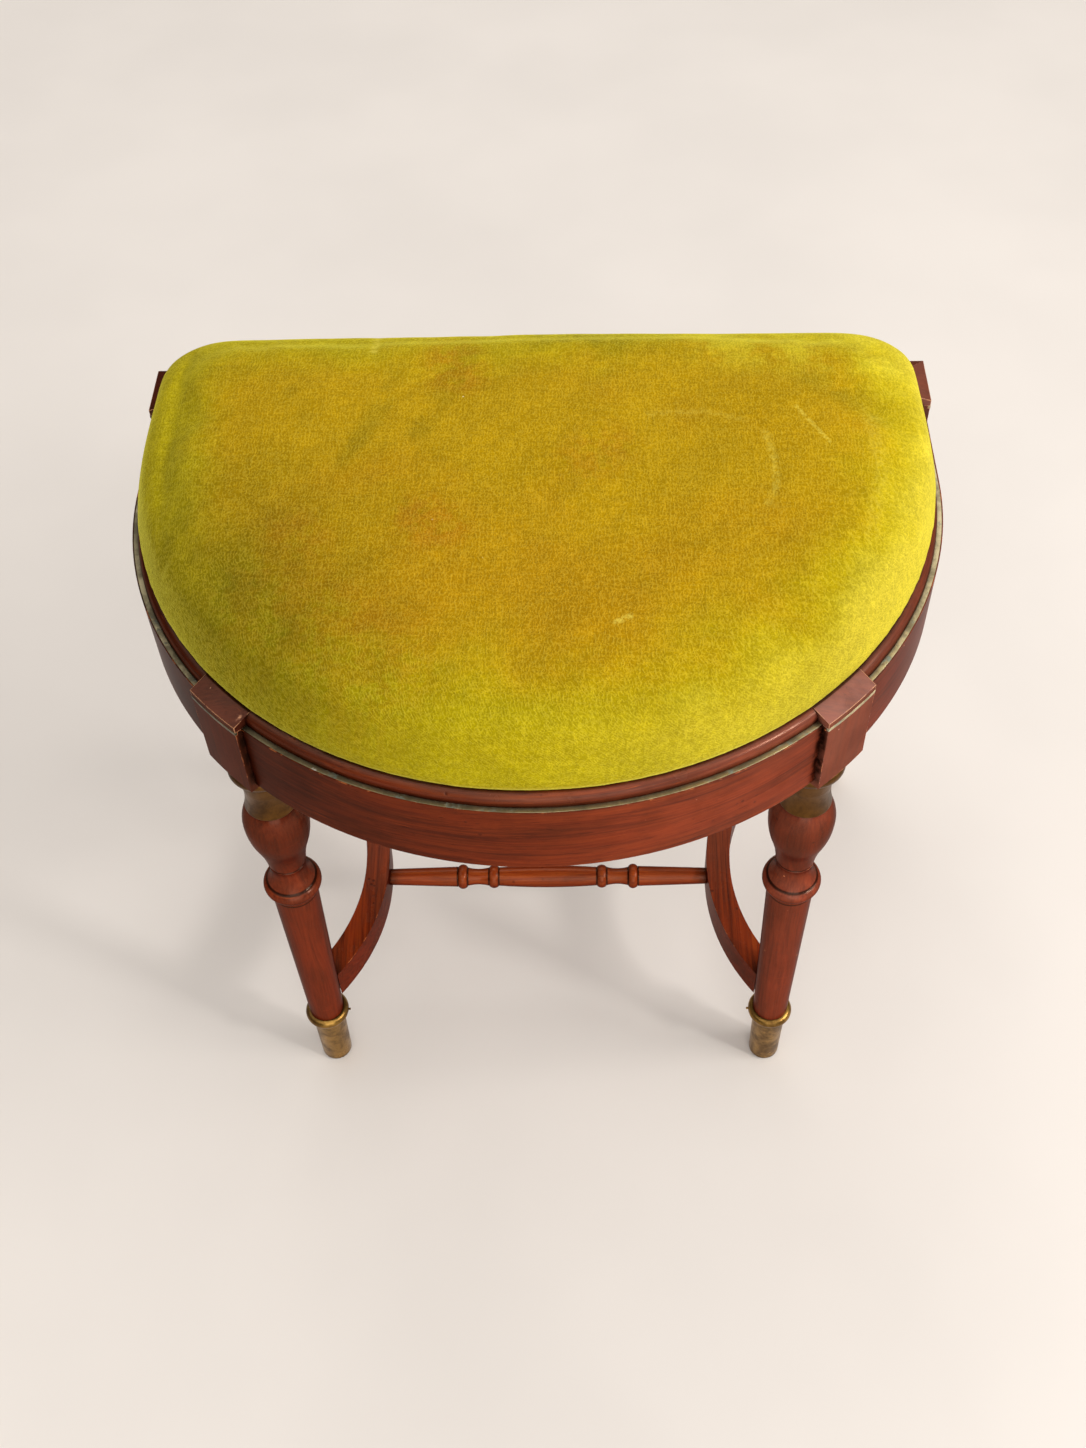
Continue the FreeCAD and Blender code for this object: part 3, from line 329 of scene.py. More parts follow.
    def strokes(self, place: Value, marks: tuple[Mark, ...], scale: float) -> Socket:
        """Several broken marks together.

        Args:
            place: Where in space.
            marks: The marks.
            scale: Breaks in a metre.

        Returns:
            A mask.
        """
        breaks = self.between(self.noise(place, scale, 4.0, 0.65), 0.38, 0.58)
        lines = []
        for mark in marks:
            along = Vector(mark.end) - Vector(mark.start)
            gap = self.vector("SUBTRACT", place, mark.start)
            share = self.math("DIVIDE", self.vector("DOT_PRODUCT", gap, tuple(along)),
                              along.length_squared, clamp=True)
            nearest = self.vector("MULTIPLY", self.join(share, share, share), tuple(along))
            away = self.vector("LENGTH", self.vector("SUBTRACT", gap, nearest))
            line = self.between(away, 0.2 * mark.width, mark.width, 1.0, 0.0)
            lines.append(self.times(line, mark.strength))
        return self.times(self.largest(0.0, *lines), breaks)


class Surface(NodeBench):
    """The bench of a new material, with its shader and the place on the piece."""

    def __init__(self, name: str) -> None:
        """Make a material with one Principled shader.

        Args:
            name: Name of the material.
        """
        self.material = bpy.data.materials.new(name)
        self.material.use_nodes = True
        super().__init__(self.material.node_tree)
        self.shader = self.tree.nodes["Principled BSDF"]
        # In metres from the origin of the piece's body, with which it moves
        self.place = self.add("ShaderNodeTexCoord").outputs["Object"]

    def shine(self, **values: Value) -> None:
        """Set or link inputs of the shader."""
        self.fill(self.shader, **values)

    def relief(self, strength: float, distance: float, height: Value, **values: Value) -> None:
        """Raise the surface.

        Args:
            strength: How strong the relief is, from 0 to 1.
            distance: Its depth in metres.
            height: The raised places.
            values: Other inputs of the relief, such as the normal that it starts from.
        """
        node = self.fill(self.add("ShaderNodeBump"), Strength=strength, Distance=distance,
                         Height=height, **values)
        self.shine(Normal=node.outputs[0])


class Effect:
    """A shader effect that several finishes share, as one node group with named sockets."""

    VECTORS = ("Place", "Normal")

    def __init__(self, name: str, takes: tuple[str, ...], gives: tuple[str, ...]) -> None:
        """Start an empty group.

        Args:
            name: Name of the group.
            takes: Names of its inputs.
            gives: Names of its outputs.
        """
        self.tree = bpy.data.node_groups.new(name, "ShaderNodeTree")
        for side, labels in (("INPUT", takes), ("OUTPUT", gives)):
            for label in labels:
                kind = "NodeSocketVector" if label in self.VECTORS else "NodeSocketFloat"
                self.tree.interface.new_socket(name=label, in_out=side, socket_type=kind)
        self.bench = NodeBench(self.tree)
        self.given = self.bench.add("NodeGroupInput").outputs
        self.result = self.bench.add("NodeGroupOutput")

    def give(self, **values: Value) -> bpy.types.NodeTree:
        """Join the results to the group's outputs and give the group."""
        self.bench.fill(self.result, **values)
        return self.tree


class Effects:
    """Every shared effect, built once."""

    def __init__(self) -> None:
        """Build all the groups."""
        self.bent_grain = self.make_bent_grain()
        self.grain = self.make_grain()
        self.edge = self.make_edge()
        self.crevice = self.make_crevice()
        self.handling = self.make_handling()
        self.weave = self.make_weave()

    def make_bent_grain(self) -> bpy.types.NodeTree:
        """Build coordinates that run round the curved front: along, outwards and up.

        Returns:
            The group.
        """
        effect = Effect("Round the seat", ("Place",), ("Place",))
        b = effect.bench
        x, y, z = b.split(effect.given["Place"])
        forward = b.minus(CURVE_CENTRE_Y, y)
        ahead = b.largest(forward, 0.0)
        behind = b.times(b.largest(b.times(forward, -1.0), 0.0), b.math("SIGN", x))
        along = b.plus(b.times(b.math("ARCTAN2", x, ahead), RAIL_RADIUS), behind)
        reach = b.math("SQRT", b.plus(b.times(x, x), b.math("POWER", ahead, 2.0)))
        return effect.give(Place=b.join(along, reach, z))

    def make_grain(self) -> bpy.types.NodeTree:
        """Build the grain of a hardwood whose length runs along the first coordinate.

        Returns:
            The group.
        """
        effect = Effect("Hardwood grain", ("Place", "Figure size"),
                        ("Figure", "Streaks", "Pores"))
        b = effect.bench
        size = effect.given["Figure size"]
        place = b.vector("MULTIPLY", effect.given["Place"], b.join(size, size, size))
        x, y, z = b.split(place)
        shift = b.times(b.noise(place, (3.0, 14.0, 14.0), 2.0), 0.035)
        drawn = b.join(x, b.plus(y, shift), b.plus(z, shift))
        figure = b.noise(drawn, (5.0, 70.0, 70.0), 5.0, 0.6)
        streaks = b.noise(drawn, (9.0, 420.0, 420.0), 4.0, 0.65)
        pores = b.noise(drawn, (70.0, 1700.0, 1700.0), 2.0)
        return effect.give(Figure=b.between(figure, 0.3, 0.7),
                           Streaks=b.between(streaks, 0.3, 0.7),
                           Pores=b.between(pores, 0.6, 0.72))

    def make_edge(self) -> bpy.types.NodeTree:
        """Build softened edges, and a broken mask of where they are rubbed.

        Returns:
            The group.
        """
        effect = Effect("Rubbed edge", ("Place", "Radius", "Wear"), ("Normal", "Mask"))
        b = effect.bench
        soft = b.add("ShaderNodeBevel", samples=6)
        rounded = b.fill(soft, Radius=effect.given["Radius"]).outputs[0]
        flat = b.add("ShaderNodeNewGeometry").outputs["Normal"]
        turn = b.minus(1.0, b.vector("DOT_PRODUCT", rounded, flat))
        patches = b.noise(effect.given["Place"], 70.0, 6.0, 0.7)
        limit = b.minus(0.72, b.times(effect.given["Wear"], 0.4))
        broken = b.between(b.minus(patches, limit), 0.0, 0.09)
        return effect.give(Normal=rounded, Mask=b.times(b.between(turn, 0.015, 0.09), broken))

    def make_crevice(self) -> bpy.types.NodeTree:
        """Build painted shade where pieces meet and in hollows, with the dirt and old polish that
        gather there.

        Returns:
            The group.
        """
        effect = Effect("Crevice shade and dirt", ("Place", "Reach"), ("Mask",))
        b = effect.bench
        # Painted shade: ambient occlusion darkens the surface where pieces meet and in hollows
        hollow = b.add("ShaderNodeAmbientOcclusion", samples=6)
        open_share = b.fill(hollow, Distance=effect.given["Reach"]).outputs["AO"]
        ragged = b.times(b.minus(b.noise(effect.given["Place"], 130.0, 4.0, 0.6), 0.5), 0.35)
        return effect.give(Mask=b.between(b.plus(open_share, ragged), 0.94, 0.46))

    def make_handling(self) -> bpy.types.NodeTree:
        """Build the marks of long use: cloudy polish, fine scratches, dents and chips.

        Returns:
            The group.
        """
        effect = Effect("Long use", ("Place",), ("Cloud", "Scratches", "Dents", "Chips"))
        b = effect.bench
        place = effect.given["Place"]
        scratches = []
        for turn, scale in (((0.7, 0.3, 0.6), 38.0), ((-0.5, 0.8, 0.2), 46.0)):
            turned = b.fill(b.add("ShaderNodeMapping"), Vector=place, Rotation=turn,
                            Scale=(scale, scale * 0.08, scale * 22)).outputs[0]
            scratches.append(b.between(b.noise(turned, 1.0, 2.0, 0.4), 0.70, 0.735))
        scratched = b.between(b.noise(place, 19.0, 2.0), 0.5, 0.62)
        dented = b.between(b.noise(place, 31.0, 2.0), 0.58, 0.66)
        chipped = b.between(b.noise(place, 47.0, 2.0), 0.56, 0.60)
        return effect.give(Cloud=b.between(b.noise(place, 24.0, 5.0, 0.6), 0.35, 0.68),
                           Scratches=b.times(b.largest(*scratches), scratched),
                           Dents=b.times(b.spots(place, 130.0, 0.10, 0.22), dented),
                           Chips=b.times(b.spots(place, 75.0, 0.035, 0.055), chipped))

    def make_weave(self) -> bpy.types.NodeTree:
        """Build a plain weave of two sets of threads over and under each other.

        Returns:
            The group.
        """
        effect = Effect("Plain weave", ("Place", "Threads"), ("Height", "Thread", "Gap"))
        b = effect.bench
        place = effect.given["Place"]
        wobble = b.times(b.noise(place, 60.0, 2.0), 0.0012)
        across, along = (b.times(b.plus(part, wobble), effect.given["Threads"])
                         for part in b.split(place)[:2])
        warp, weft = (b.math("ABSOLUTE", b.math("SINE", b.times(part, math.pi)))
                      for part in (across, along))
        turn = b.math("FLOORED_MODULO",
                      b.plus(b.math("FLOOR", across), b.math("FLOOR", along)), 2.0)
        over = b.times(warp, b.math("MULTIPLY_ADD", weft, 0.5, 0.5))
        under = b.times(weft, b.math("MULTIPLY_ADD", warp, 0.5, 0.5))
        height = b.plus(b.times(over, turn), b.times(under, b.minus(1.0, turn)))
        gap = b.between(b.largest(warp, weft), 0.25, 0.55, 1.0, 0.0)
        return effect.give(Height=height, Thread=turn, Gap=gap)


@dataclass(frozen=True)
class WoodLook:
    """How one kind of wood piece looks."""

    name: str
    grain: Grain
    light: Colour
    mid: Colour
    dark: Colour
    worn: Colour
    figure_size: float = 1.0
    wear: float = 0.45
    edge_radius: float = 0.0009
    roughness: float = 0.34
    varnish: Colour = (0.58, 0.38, 0.28)
    specular: float = 0.3
    contrast: float = 0.45
    cloud_tint: Colour = (0.055, 0.014, 0.006)
    cloud: float = 0.35
    # Colour of dirt and of painted shade, and how far the painted shade in crevices reaches
    dirt_and_shade: Colour = (0.010, 0.004, 0.002)
    dirt_and_shade_reach: float = 0.010
    # Painted shade on the left and painted light on the right, and painted shade high on the legs
    # under the seat
    left_shade: float = 1.0
    right_light: float = 1.0
    under_seat_shade: float = 1.0
    # Painted reflection: strength and colour of a pale veil, strongest on the right
    painted_reflection: float = 0.0
    painted_reflection_colour: Colour = linear(150, 104, 92)
    bump: float = 0.35
    scored: tuple[float, ...] = ()
    rubbed: tuple[Mark, ...] = ()
    # Stains, and painted shadows in the gaps beside the blocks
    stains_and_shadows: tuple[Mark, ...] = ()


@dataclass(frozen=True)
class Finish:
    """Base of the finishes that use the shared effects."""

    effects: Effects


class WoodFinish(Finish):
    """Polished or plain wood under a thin tinted varnish."""

    VARNISH_IOR = 1.05
    VARNISH_ROUGHNESS = 0.3
    SEEN_DEPTH = 1.45
    # Spans of the painted reflection and the painted side light across the seat, and heights of
    # the painted shade on the legs under the seat
    REFLECTION_SPAN = (-0.02, 0.22)
    SIDE_LIGHT_SPAN = (-0.30, 0.16)
    UNDER_SEAT_SPAN = (0.25, 0.33)
    STAIN_AND_SHADOW_BREAKS = 120.0
    RUB_BREAKS = 420.0
    SCORE_WIDTHS = (0.0003, 0.0012)
    GRAIN_DEPTH = 0.0002
    FIGURE_GAIN = 1.6
    PORE_SHARE = 0.6
    DENT_SHARE = 0.7
    SCRATCH_SHARE = 0.5
    CREVICE_SHARE = 0.88
    # Share of the painted reflection on the left, and under clouded polish
    REFLECTION_LEFT = 0.15
    REFLECTION_UNDER_CLOUD = 0.6

    def beneath(self, colour: Colour, varnish: Colour) -> Colour:
        """Find the wood's own colour from the colour it shows through the varnish.

        Args:
            colour: Colour that shows.
            varnish: Tint of the varnish.

        Returns:
            Colour of the wood under it.
        """
        return tuple(min(1.0, part / tint ** self.SEEN_DEPTH)
                     for part, tint in zip(colour, varnish))

    def along_grain(self, b: Surface, look: WoodLook) -> Socket:
        """Turn the place on the piece so that the grain runs along its first coordinate.

        Args:
            b: Bench of the material.
            look: Colours and sizes.

        Returns:
            The turned place.
        """
        if look.grain is Grain.ROUND_THE_SEAT:
            return b.use(self.effects.bent_grain, Place=b.place)[0]
        axes = b.split(b.place)
        return b.join(*(axes[axis] for axis in look.grain.value))

    def wood(self, b: Surface, look: WoodLook, grain: bpy.types.NodeOutputs,
             handling: bpy.types.NodeOutputs) -> Socket:
        """Colour of the grain under clouded polish.

        Args:
            b: Bench of the material.
            look: Colours and sizes.
            grain: Masks of the grain.
            handling: Masks of long use.

        Returns:
            The colour.
        """
        light, mid, dark, cloudy = (self.beneath(part, look.varnish) for part in
                                    (look.light, look.mid, look.dark, look.cloud_tint))
        figure = b.between(grain["Figure"], 0.0, 1.0, 1.0 - look.contrast * self.FIGURE_GAIN, 1.0)
        colour = b.blend(figure, dark, mid)
        colour = b.blend(b.times(grain["Streaks"], look.contrast), colour, light)
        colour = b.blend(b.times(grain["Pores"], self.PORE_SHARE), colour, dark, "MULTIPLY")
        colour = b.blend(b.times(handling["Cloud"], look.cloud), colour, cloudy)
        return b.blend(b.times(handling["Dents"], self.DENT_SHARE), colour, dark)

    def aged(self, b: Surface, look: WoodLook, colour: Socket,
             handling: bpy.types.NodeOutputs) -> Socket:
        """Colour with painted reflection and painted light on the right, painted shade on the
        left and under the seat, scratches, stains and painted gap shadows.

        Args:
            b: Bench of the material.
            look: Colours and sizes.
            colour: Colour of the wood.
            handling: Masks of long use.

        Returns:
            The colour.
        """
        x, _, z = b.split(b.place)
        # Painted reflection: a pale veil, strongest on the right and weaker under clouded polish
        reflection_share = b.times(b.between(x, *self.REFLECTION_SPAN, self.REFLECTION_LEFT, 1.0),
                        b.between(handling["Cloud"], 0.0, 1.0, look.painted_reflection,
                                  self.REFLECTION_UNDER_CLOUD * look.painted_reflection))
        colour = b.blend(reflection_share, colour, self.beneath(look.painted_reflection_colour, look.varnish))
        # Painted shade on the left, painted light on the right, and painted shade high on the
        # legs under the seat
        colour = b.shade(colour, b.between(x, *self.SIDE_LIGHT_SPAN, look.left_shade, look.right_light),
                         b.between(z, *self.UNDER_SEAT_SPAN, 1.0, look.under_seat_shade))
        colour = b.blend(b.times(handling["Scratches"], self.SCRATCH_SHARE), colour, look.worn)
        # Stains, and painted shadows in the gaps beside the blocks
        if look.stains_and_shadows:
            colour = b.blend(b.strokes(b.place, look.stains_and_shadows, self.STAIN_AND_SHADOW_BREAKS), colour,
                             look.dirt_and_shade)
        return colour

    def crevices(self, b: Surface, look: WoodLook, drawn: Socket) -> Socket:
        """Mask of painted shade and dirt between pieces, and of the dark scored lines.

        Args:
            b: Bench of the material.
            look: Colours and sizes.
            drawn: Place with the grain along its first coordinate.

        Returns:
            The mask.
        """
        crevice = b.use(self.effects.crevice, Place=b.place, Reach=look.dirt_and_shade_reach)[0]
        if not look.scored:
            return crevice
        along = b.math("ABSOLUTE", b.split(drawn)[0])
        lines = (b.between(b.apart(along, score), *self.SCORE_WIDTHS, 1.0, 0.0)
                 for score in look.scored)
        return b.largest(crevice, b.largest(0.0, *lines))

    def build(self, look: WoodLook) -> bpy.types.Material:
        """Make the material of one look.

        Args:
            look: Colours and sizes.

        Returns:
            The material.
        """
        b = Surface(look.name)
        drawn = self.along_grain(b, look)
        grain = b.use(self.effects.grain, Place=drawn, Figure_size=look.figure_size)
        edge = b.use(self.effects.edge, Place=b.place, Radius=look.edge_radius, Wear=look.wear)
        handling = b.use(self.effects.handling, Place=b.place)
        crevice = self.crevices(b, look, drawn)
        bare = b.largest(b.times(edge["Mask"], b.minus(1.0, b.times(crevice, 0.7))),
                         handling["Chips"])
        if look.rubbed:
            bare = b.largest(bare, b.strokes(b.place, look.rubbed, self.RUB_BREAKS))
        colour = self.aged(b, look, self.wood(b, look, grain, handling), handling)
        # Painted shade and dirt where pieces meet, and the dark scored lines
        colour = b.blend(b.times(crevice, self.CREVICE_SHARE), colour, look.dirt_and_shade)
        rough = b.plus(look.roughness, b.times(handling["Cloud"], 0.12),
                       b.times(edge["Mask"], 0.3), b.times(grain["Pores"], 0.15))
        b.shine(Base_Color=b.blend(bare, colour, look.worn), Roughness=rough,
                Specular_IOR_Level=look.specular, Coat_Weight=b.minus(1.0, bare),
                Coat_IOR=self.VARNISH_IOR, Coat_Tint=look.varnish,
                Coat_Roughness=self.VARNISH_ROUGHNESS)
        height = b.minus(b.times(grain["Streaks"], 0.25), grain["Pores"],
                         b.times(handling["Dents"], 3.0), b.times(handling["Scratches"], 1.0))
        b.relief(look.bump, self.GRAIN_DEPTH, height, Normal=edge["Normal"])
        return b.material


@dataclass(frozen=True)
class BrassLook:
    """How one kind of brass piece looks."""

    name: str
    bright: Colour
    aged: Colour
    crust: Colour
    crust_share: float = 0.5
    tarnish_share: float = 1.0
    roughness: float = 0.34
    # Share of the dirt and painted shade in hollows
    dirt_and_shade: float = 0.75
    # Painted shade on the left and painted light on the right
    left_shade: float = 1.0
    right_light: float = 1.0
    edge_radius: float = 0.0006
    nicks: tuple[Mark, ...] = ()


class BrassFinish(Finish):
    """Old brass with brown patina, green crust in places and rubbed edges."""

    WEAR = 0.6
    # Colour of the dirt and painted shade in hollows, and how far the shade reaches
    DIRT_AND_SHADE = (0.014, 0.009, 0.005)
    DIRT_AND_SHADE_REACH = 0.006
    BARE = (0.85, 0.83, 0.78)
    NICK_BREAKS = 500.0
    # Span of the painted side light
    SIDE_LIGHT_SPAN = (-0.28, 0.22)
    CRUST_DEPTH = 0.0003
    CRUST_SPAN = (0.98, 1.12)
    TARNISH_SPAN = (0.50, 0.86)

    def build(self, look: BrassLook) -> bpy.types.Material:
        """Make the material of one look.

        Args:
            look: Colours and sizes.

        Returns:
            The material.
        """
        b = Surface(look.name)
        place = b.place
        edge = b.use(self.effects.edge, Place=place, Radius=look.edge_radius, Wear=self.WEAR)
        handling = b.use(self.effects.handling, Place=place)
        fine = b.noise(place, 260.0, 4.0, 0.6)
        tarnish = b.between(b.plus(b.noise(place, 42.0, 6.0, 0.65, 0.4), b.times(fine, 0.35)),
                            *self.TARNISH_SPAN)
        colour = b.blend(b.times(tarnish, look.tarnish_share), look.bright, look.aged)
        crust = b.between(b.plus(b.noise(place, 85.0, 5.0, 0.7), b.times(fine, 0.3)),
                          *(limit - look.crust_share * 0.5 for limit in self.CRUST_SPAN))
        colour = b.blend(crust, colour, look.crust)
        # Painted shade and dirt in hollows and where the brass meets the wood
        crevice = b.use(self.effects.crevice, Place=place, Reach=self.DIRT_AND_SHADE_REACH)[0]
        colour = b.blend(b.times(crevice, look.dirt_and_shade), colour, self.DIRT_AND_SHADE)
        colour = b.blend(b.times(edge["Mask"], 0.8), colour, look.bright)
        # Painted shade on the left and painted light on the right
        colour = b.shade(colour, b.between(b.split(place)[0], *self.SIDE_LIGHT_SPAN, look.left_shade,
                                           look.right_light))
        if look.nicks:
            colour = b.blend(b.strokes(place, look.nicks, self.NICK_BREAKS), colour, self.BARE)
        rough = b.plus(look.roughness, b.times(tarnish, 0.16), b.times(crust, 0.35))
        b.shine(Base_Color=colour, Metallic=b.minus(1.0, b.times(crust, 0.85)),
                Roughness=rough)
        height = b.minus(b.plus(b.times(fine, 0.5), crust), b.times(handling["Dents"], 2.0))
        b.relief(0.4, self.CRUST_DEPTH, height, Normal=edge["Normal"])
        return b.material


@dataclass(frozen=True)
class ClothLook:
    """How one kind of plain woven cloth looks."""

    name: str
    light: Colour
    dark: Colour
    threads: float
    stripe: Colour | None = None
    depth: float = 0.0003


class ClothFinish(Finish):
    """Plain woven cloth under the seat."""

    STRIPE_SPACING = 0.041
    STRIPE_PLACE = 0.021
    STRIPE_WIDTHS = (0.0012, 0.002)
    GAP_TONE = 0.25

    def build(self, look: ClothLook) -> bpy.types.Material:
        """Make the material of one look.

        Args:
            look: Colours and sizes.

        Returns:
            The material.
        """
        b = Surface(look.name)
        place = b.place
        weave = b.use(self.effects.weave, Place=place, Threads=look.threads)
        tone = b.noise(place, 90.0, 4.0, 0.6)
        slub = b.noise(place, (30.0, 900.0, 30.0), 2.0)
        colour = b.blend(b.between(tone, 0.3, 0.7), look.dark, look.light)
        colour = b.blend(b.between(slub, 0.5, 0.75, 0.0, 0.4), colour, look.light)
        if look.stripe is not None:
            x = b.split(place)[0]
            band = b.math("PINGPONG", b.plus(x, self.STRIPE_SPACING), self.STRIPE_SPACING)
            near = b.between(b.apart(band, self.STRIPE_PLACE), *self.STRIPE_WIDTHS, 0.8, 0.0)
            colour = b.blend(near, colour, look.stripe)
        colour = b.blend(b.times(weave["Gap"], 0.8), colour,
                         tuple(part * self.GAP_TONE for part in look.dark))
        b.shine(Base_Color=colour, Roughness=b.between(tone, 0.2, 0.8, 0.8, 0.95),
                Sheen_Weight=0.15)
        b.relief(0.8, look.depth, weave["Height"])
        return b.material


@dataclass(frozen=True)
class VelvetFinish:
    """Worn velvet: green where it is sheltered, rubbed gold and amber where people sat."""

    gold: Colour = linear(174, 138, 4)
    amber: Colour = linear(174, 124, 5)
    green: Colour = linear(168, 154, 8)
    moss: Colour = linear(118, 104, 6)
    pale: Colour = linear(232, 212, 84)
    brown: Colour = linear(172, 96, 10)
    # Colour of the painted light at the back right
    sunny: Colour = linear(204, 188, 40)
    dust: Colour = linear(236, 226, 176)
    sheen: Colour = (0.95, 0.86, 0.10)
    rim_reach: float = 0.272
    rim_back: float = 0.192
    rib: float = 0.0022
    pile_depth: float = 0.0005
    fine_breaks: float = 260.0
    stain_breaks: float = 60.0
    soft_breaks: float = 26.0
    # Heights above the bead: painted shadow low on the left side, green band, painted highlight
    # along the lower edge
    shadow_band: tuple[float, float] = (0.052, 0.026)
    green_band: tuple[float, float] = (0.034, 0.012)
    edge_highlight_band: tuple[float, float] = (0.0045, 0.0015)
    browned: tuple[Mark, ...] = flat_marks(
        (-0.056, 0.140, -0.052, 0.118, 0.030, 0.40),
        (-0.068, -0.020, -0.060, -0.028, 0.032, 0.40),
        (0.036, 0.030, 0.048, 0.044, 0.034, 0.26),
        (-0.150, -0.030, -0.140, -0.040, 0.030, 0.26),
        (-0.160, -0.085, -0.090, -0.135, 0.060, 0.26))
    # Painted light on the back right of the seat
    lit: tuple[Mark, ...] = flat_marks((0.140, 0.165, 0.235, 0.150, 0.060, 0.62))
    # Painted shade in folds and creases, partly darker brushed pile
    fold_shade_and_brushing: tuple[Mark, ...] = flat_marks(
        (0.010, 0.170, 0.052, 0.160, 0.030, 0.60),
        (-0.092, 0.118, -0.122, 0.031, 0.012, 0.34),
        (-0.045, 0.141, -0.075, 0.060, 0.014, 0.30),
        (-0.236, 0.150, -0.236, 0.020, 0.012, 0.34),
        (0.196, 0.108, 0.230, 0.080, 0.026, 0.34),
        (-0.180, 0.020, -0.170, -0.060, 0.050, 0.22))
    pressed: tuple[Mark, ...] = flat_marks(
        (-0.112, 0.172, -0.112, 0.148, 0.0040, 0.42),
        (0.175, 0.082, 0.194, 0.047, 0.0022, 0.42),
        (0.153, 0.056, 0.158, 0.027, 0.0042, 0.24),
        (0.158, 0.027, 0.156, 0.003, 0.0042, 0.24),
        (0.156, 0.003, 0.150, -0.010, 0.0040, 0.20),
        (0.078, 0.075, 0.112, 0.078, 0.0045, 0.15),
        (0.112, 0.078, 0.141, 0.068, 0.0042, 0.12),
        (0.053, -0.111, 0.062, -0.106, 0.0032, 0.50),
        (0.223, 0.069, 0.225, 0.021, 0.0080, 0.14),
        (0.225, 0.021, 0.213, -0.034, 0.0080, 0.12))

    def build(self) -> bpy.types.Material:
        """Make the material.

        Returns:
            The material.
        """
        b = Surface("worn_velvet")
        ribs, nap = self.pile(b)
        colour = b.shade(self.wear(b), *self.tones(b))
        colour = b.blend(b.times(ribs, 0.16), colour, self.pale)
        colour = b.shade(colour, b.between(ribs, 0.0, 0.45, 0.87, 1.02),
                         b.between(nap, 0.3, 0.7, 0.86, 1.12))
        flat = b.vector("MULTIPLY", b.place, (1.0, 1.0, 0.0))
        colour = b.blend(b.strokes(flat, self.pressed, self.fine_breaks), colour, self.pale)
        lint = b.times(b.spots(b.place, 38.0, 0.018, 0.030),
                       b.between(b.noise(b.place, 55.0, 1.0), 0.56, 0.60, 0.0, 0.7))
        b.shine(Base_Color=b.blend(lint, colour, self.dust),
                Roughness=b.between(nap, 0.3, 0.7, 0.84, 0.96), Specular_IOR_Level=0.04,
                Sheen_Weight=0.85, Sheen_Roughness=0.3, Sheen_Tint=self.sheen)
        b.relief(0.5, self.pile_depth, b.plus(ribs, b.times(nap, 0.7)))
        return b.material

    def above_bead(self, b: Surface, z: Socket, band: tuple[float, float],
                   share: float = 1.0) -> Socket:
        """Mask of a band just above the bead, which fades upwards.

        Args:
            b: Bench of the material.
            z: Height on the pad.
            band: Heights above the bead where it starts to show and where it is full.
            share: How strong it is where it is full.

        Returns:
            The mask.
        """
        return b.between(z, *(BEAD_TOP + height for height in band), 0.0, share)

    def tones(self, b: Surface) -> tuple[Socket, ...]:
        """Shares that darken and lighten the velvet: painted shade on its left, painted shadow
        low on its left side, painted light on its right, blotches, threads and brushing.

        Args:
            b: Bench of the material.

        Returns:
            The shares, to be multiplied in this order.
        """
        place = b.place
        x, y, z = b.split(place)
        # Painted shade over the left of the seat, strongest at the front
        painted_left_shade = b.times(b.between(x, -0.02, -0.20), b.between(y, -0.12, 0.10, 0.48, 0.04))
        # Painted shadow low on the left side, just above the bead
        shadow = b.times(b.between(x, -0.21, -0.27),
                         self.above_bead(b, z, self.shadow_band))
        blotch = (b.between(b.noise(place, 30.0, 5.0, 0.62), 0.3, 0.7, 0.94, 1.05),
                  b.between(b.noise(place, 170.0, 3.0, 0.6), 0.3, 0.7, 0.94, 1.05))
        weft = b.noise(place, (45.0, 520.0, 200.0), 2.0)
        warp = b.noise(place, (520.0, 45.0, 200.0), 2.0)
        threads = b.between(b.plus(weft, warp), 0.75, 1.25, 0.92, 1.08)
        drag = b.join(b.vector("DOT_PRODUCT", place, (52.0, -40.0, 0.0)),
                      b.vector("DOT_PRODUCT", place, (7.0, 9.0, 0.0)), z)
        brushed = b.between(b.noise(drag, 1.0), 0.3, 0.7, 0.95, 1.05)
        # In order: painted shade on the left, painted light on the right, painted shadow low on
        # the left side, blotches and threads, brushing
        return (b.minus(1.0, painted_left_shade), b.between(x, 0.17, 0.27, 1.0, 1.3),
                b.between(shadow, 0.0, 1.0, 1.0, 0.52), b.times(*blotch, threads), brushed)

    def wear(self, b: Surface) -> Socket:
        """Colour of the pile before its fine texture: rubbed middle, greener rim, stains, painted
        light at the back right, painted shade in folds, painted sheen on the right rim and a
        painted highlight along the lower edge.

        Args:
            b: Bench of the material.

        Returns:
            The colour.
        """
        place = b.place
        x, y, z = b.split(place)
        forward = b.largest(b.minus(CURVE_CENTRE_Y, y), 0.0)
        reach = b.math("SQRT", b.plus(b.times(x, x), b.times(forward, forward)))
        inside = b.math("SMOOTH_MIN", b.minus(self.rim_reach, reach), b.minus(self.rim_back, y),
                        0.03)
        drift = b.times(b.minus(b.noise(place, 12.0, 5.0, 0.6), 0.5), 0.10)
        inside = b.plus(inside, drift)
        warm = b.between(b.plus(b.noise(place, 9.0, 4.0, 0.55), b.times(y, -0.9)),
                         0.42, 0.72, 0.1, 0.62)
        mossy = b.times(b.between(b.noise(place, 22.0, 4.0, 0.6), 0.50, 0.70, 0.0, 0.28),
                        b.between(x, -0.08, -0.26, 0.15, 1.0))
        flat = b.vector("MULTIPLY", place, (1.0, 1.0, 0.0))
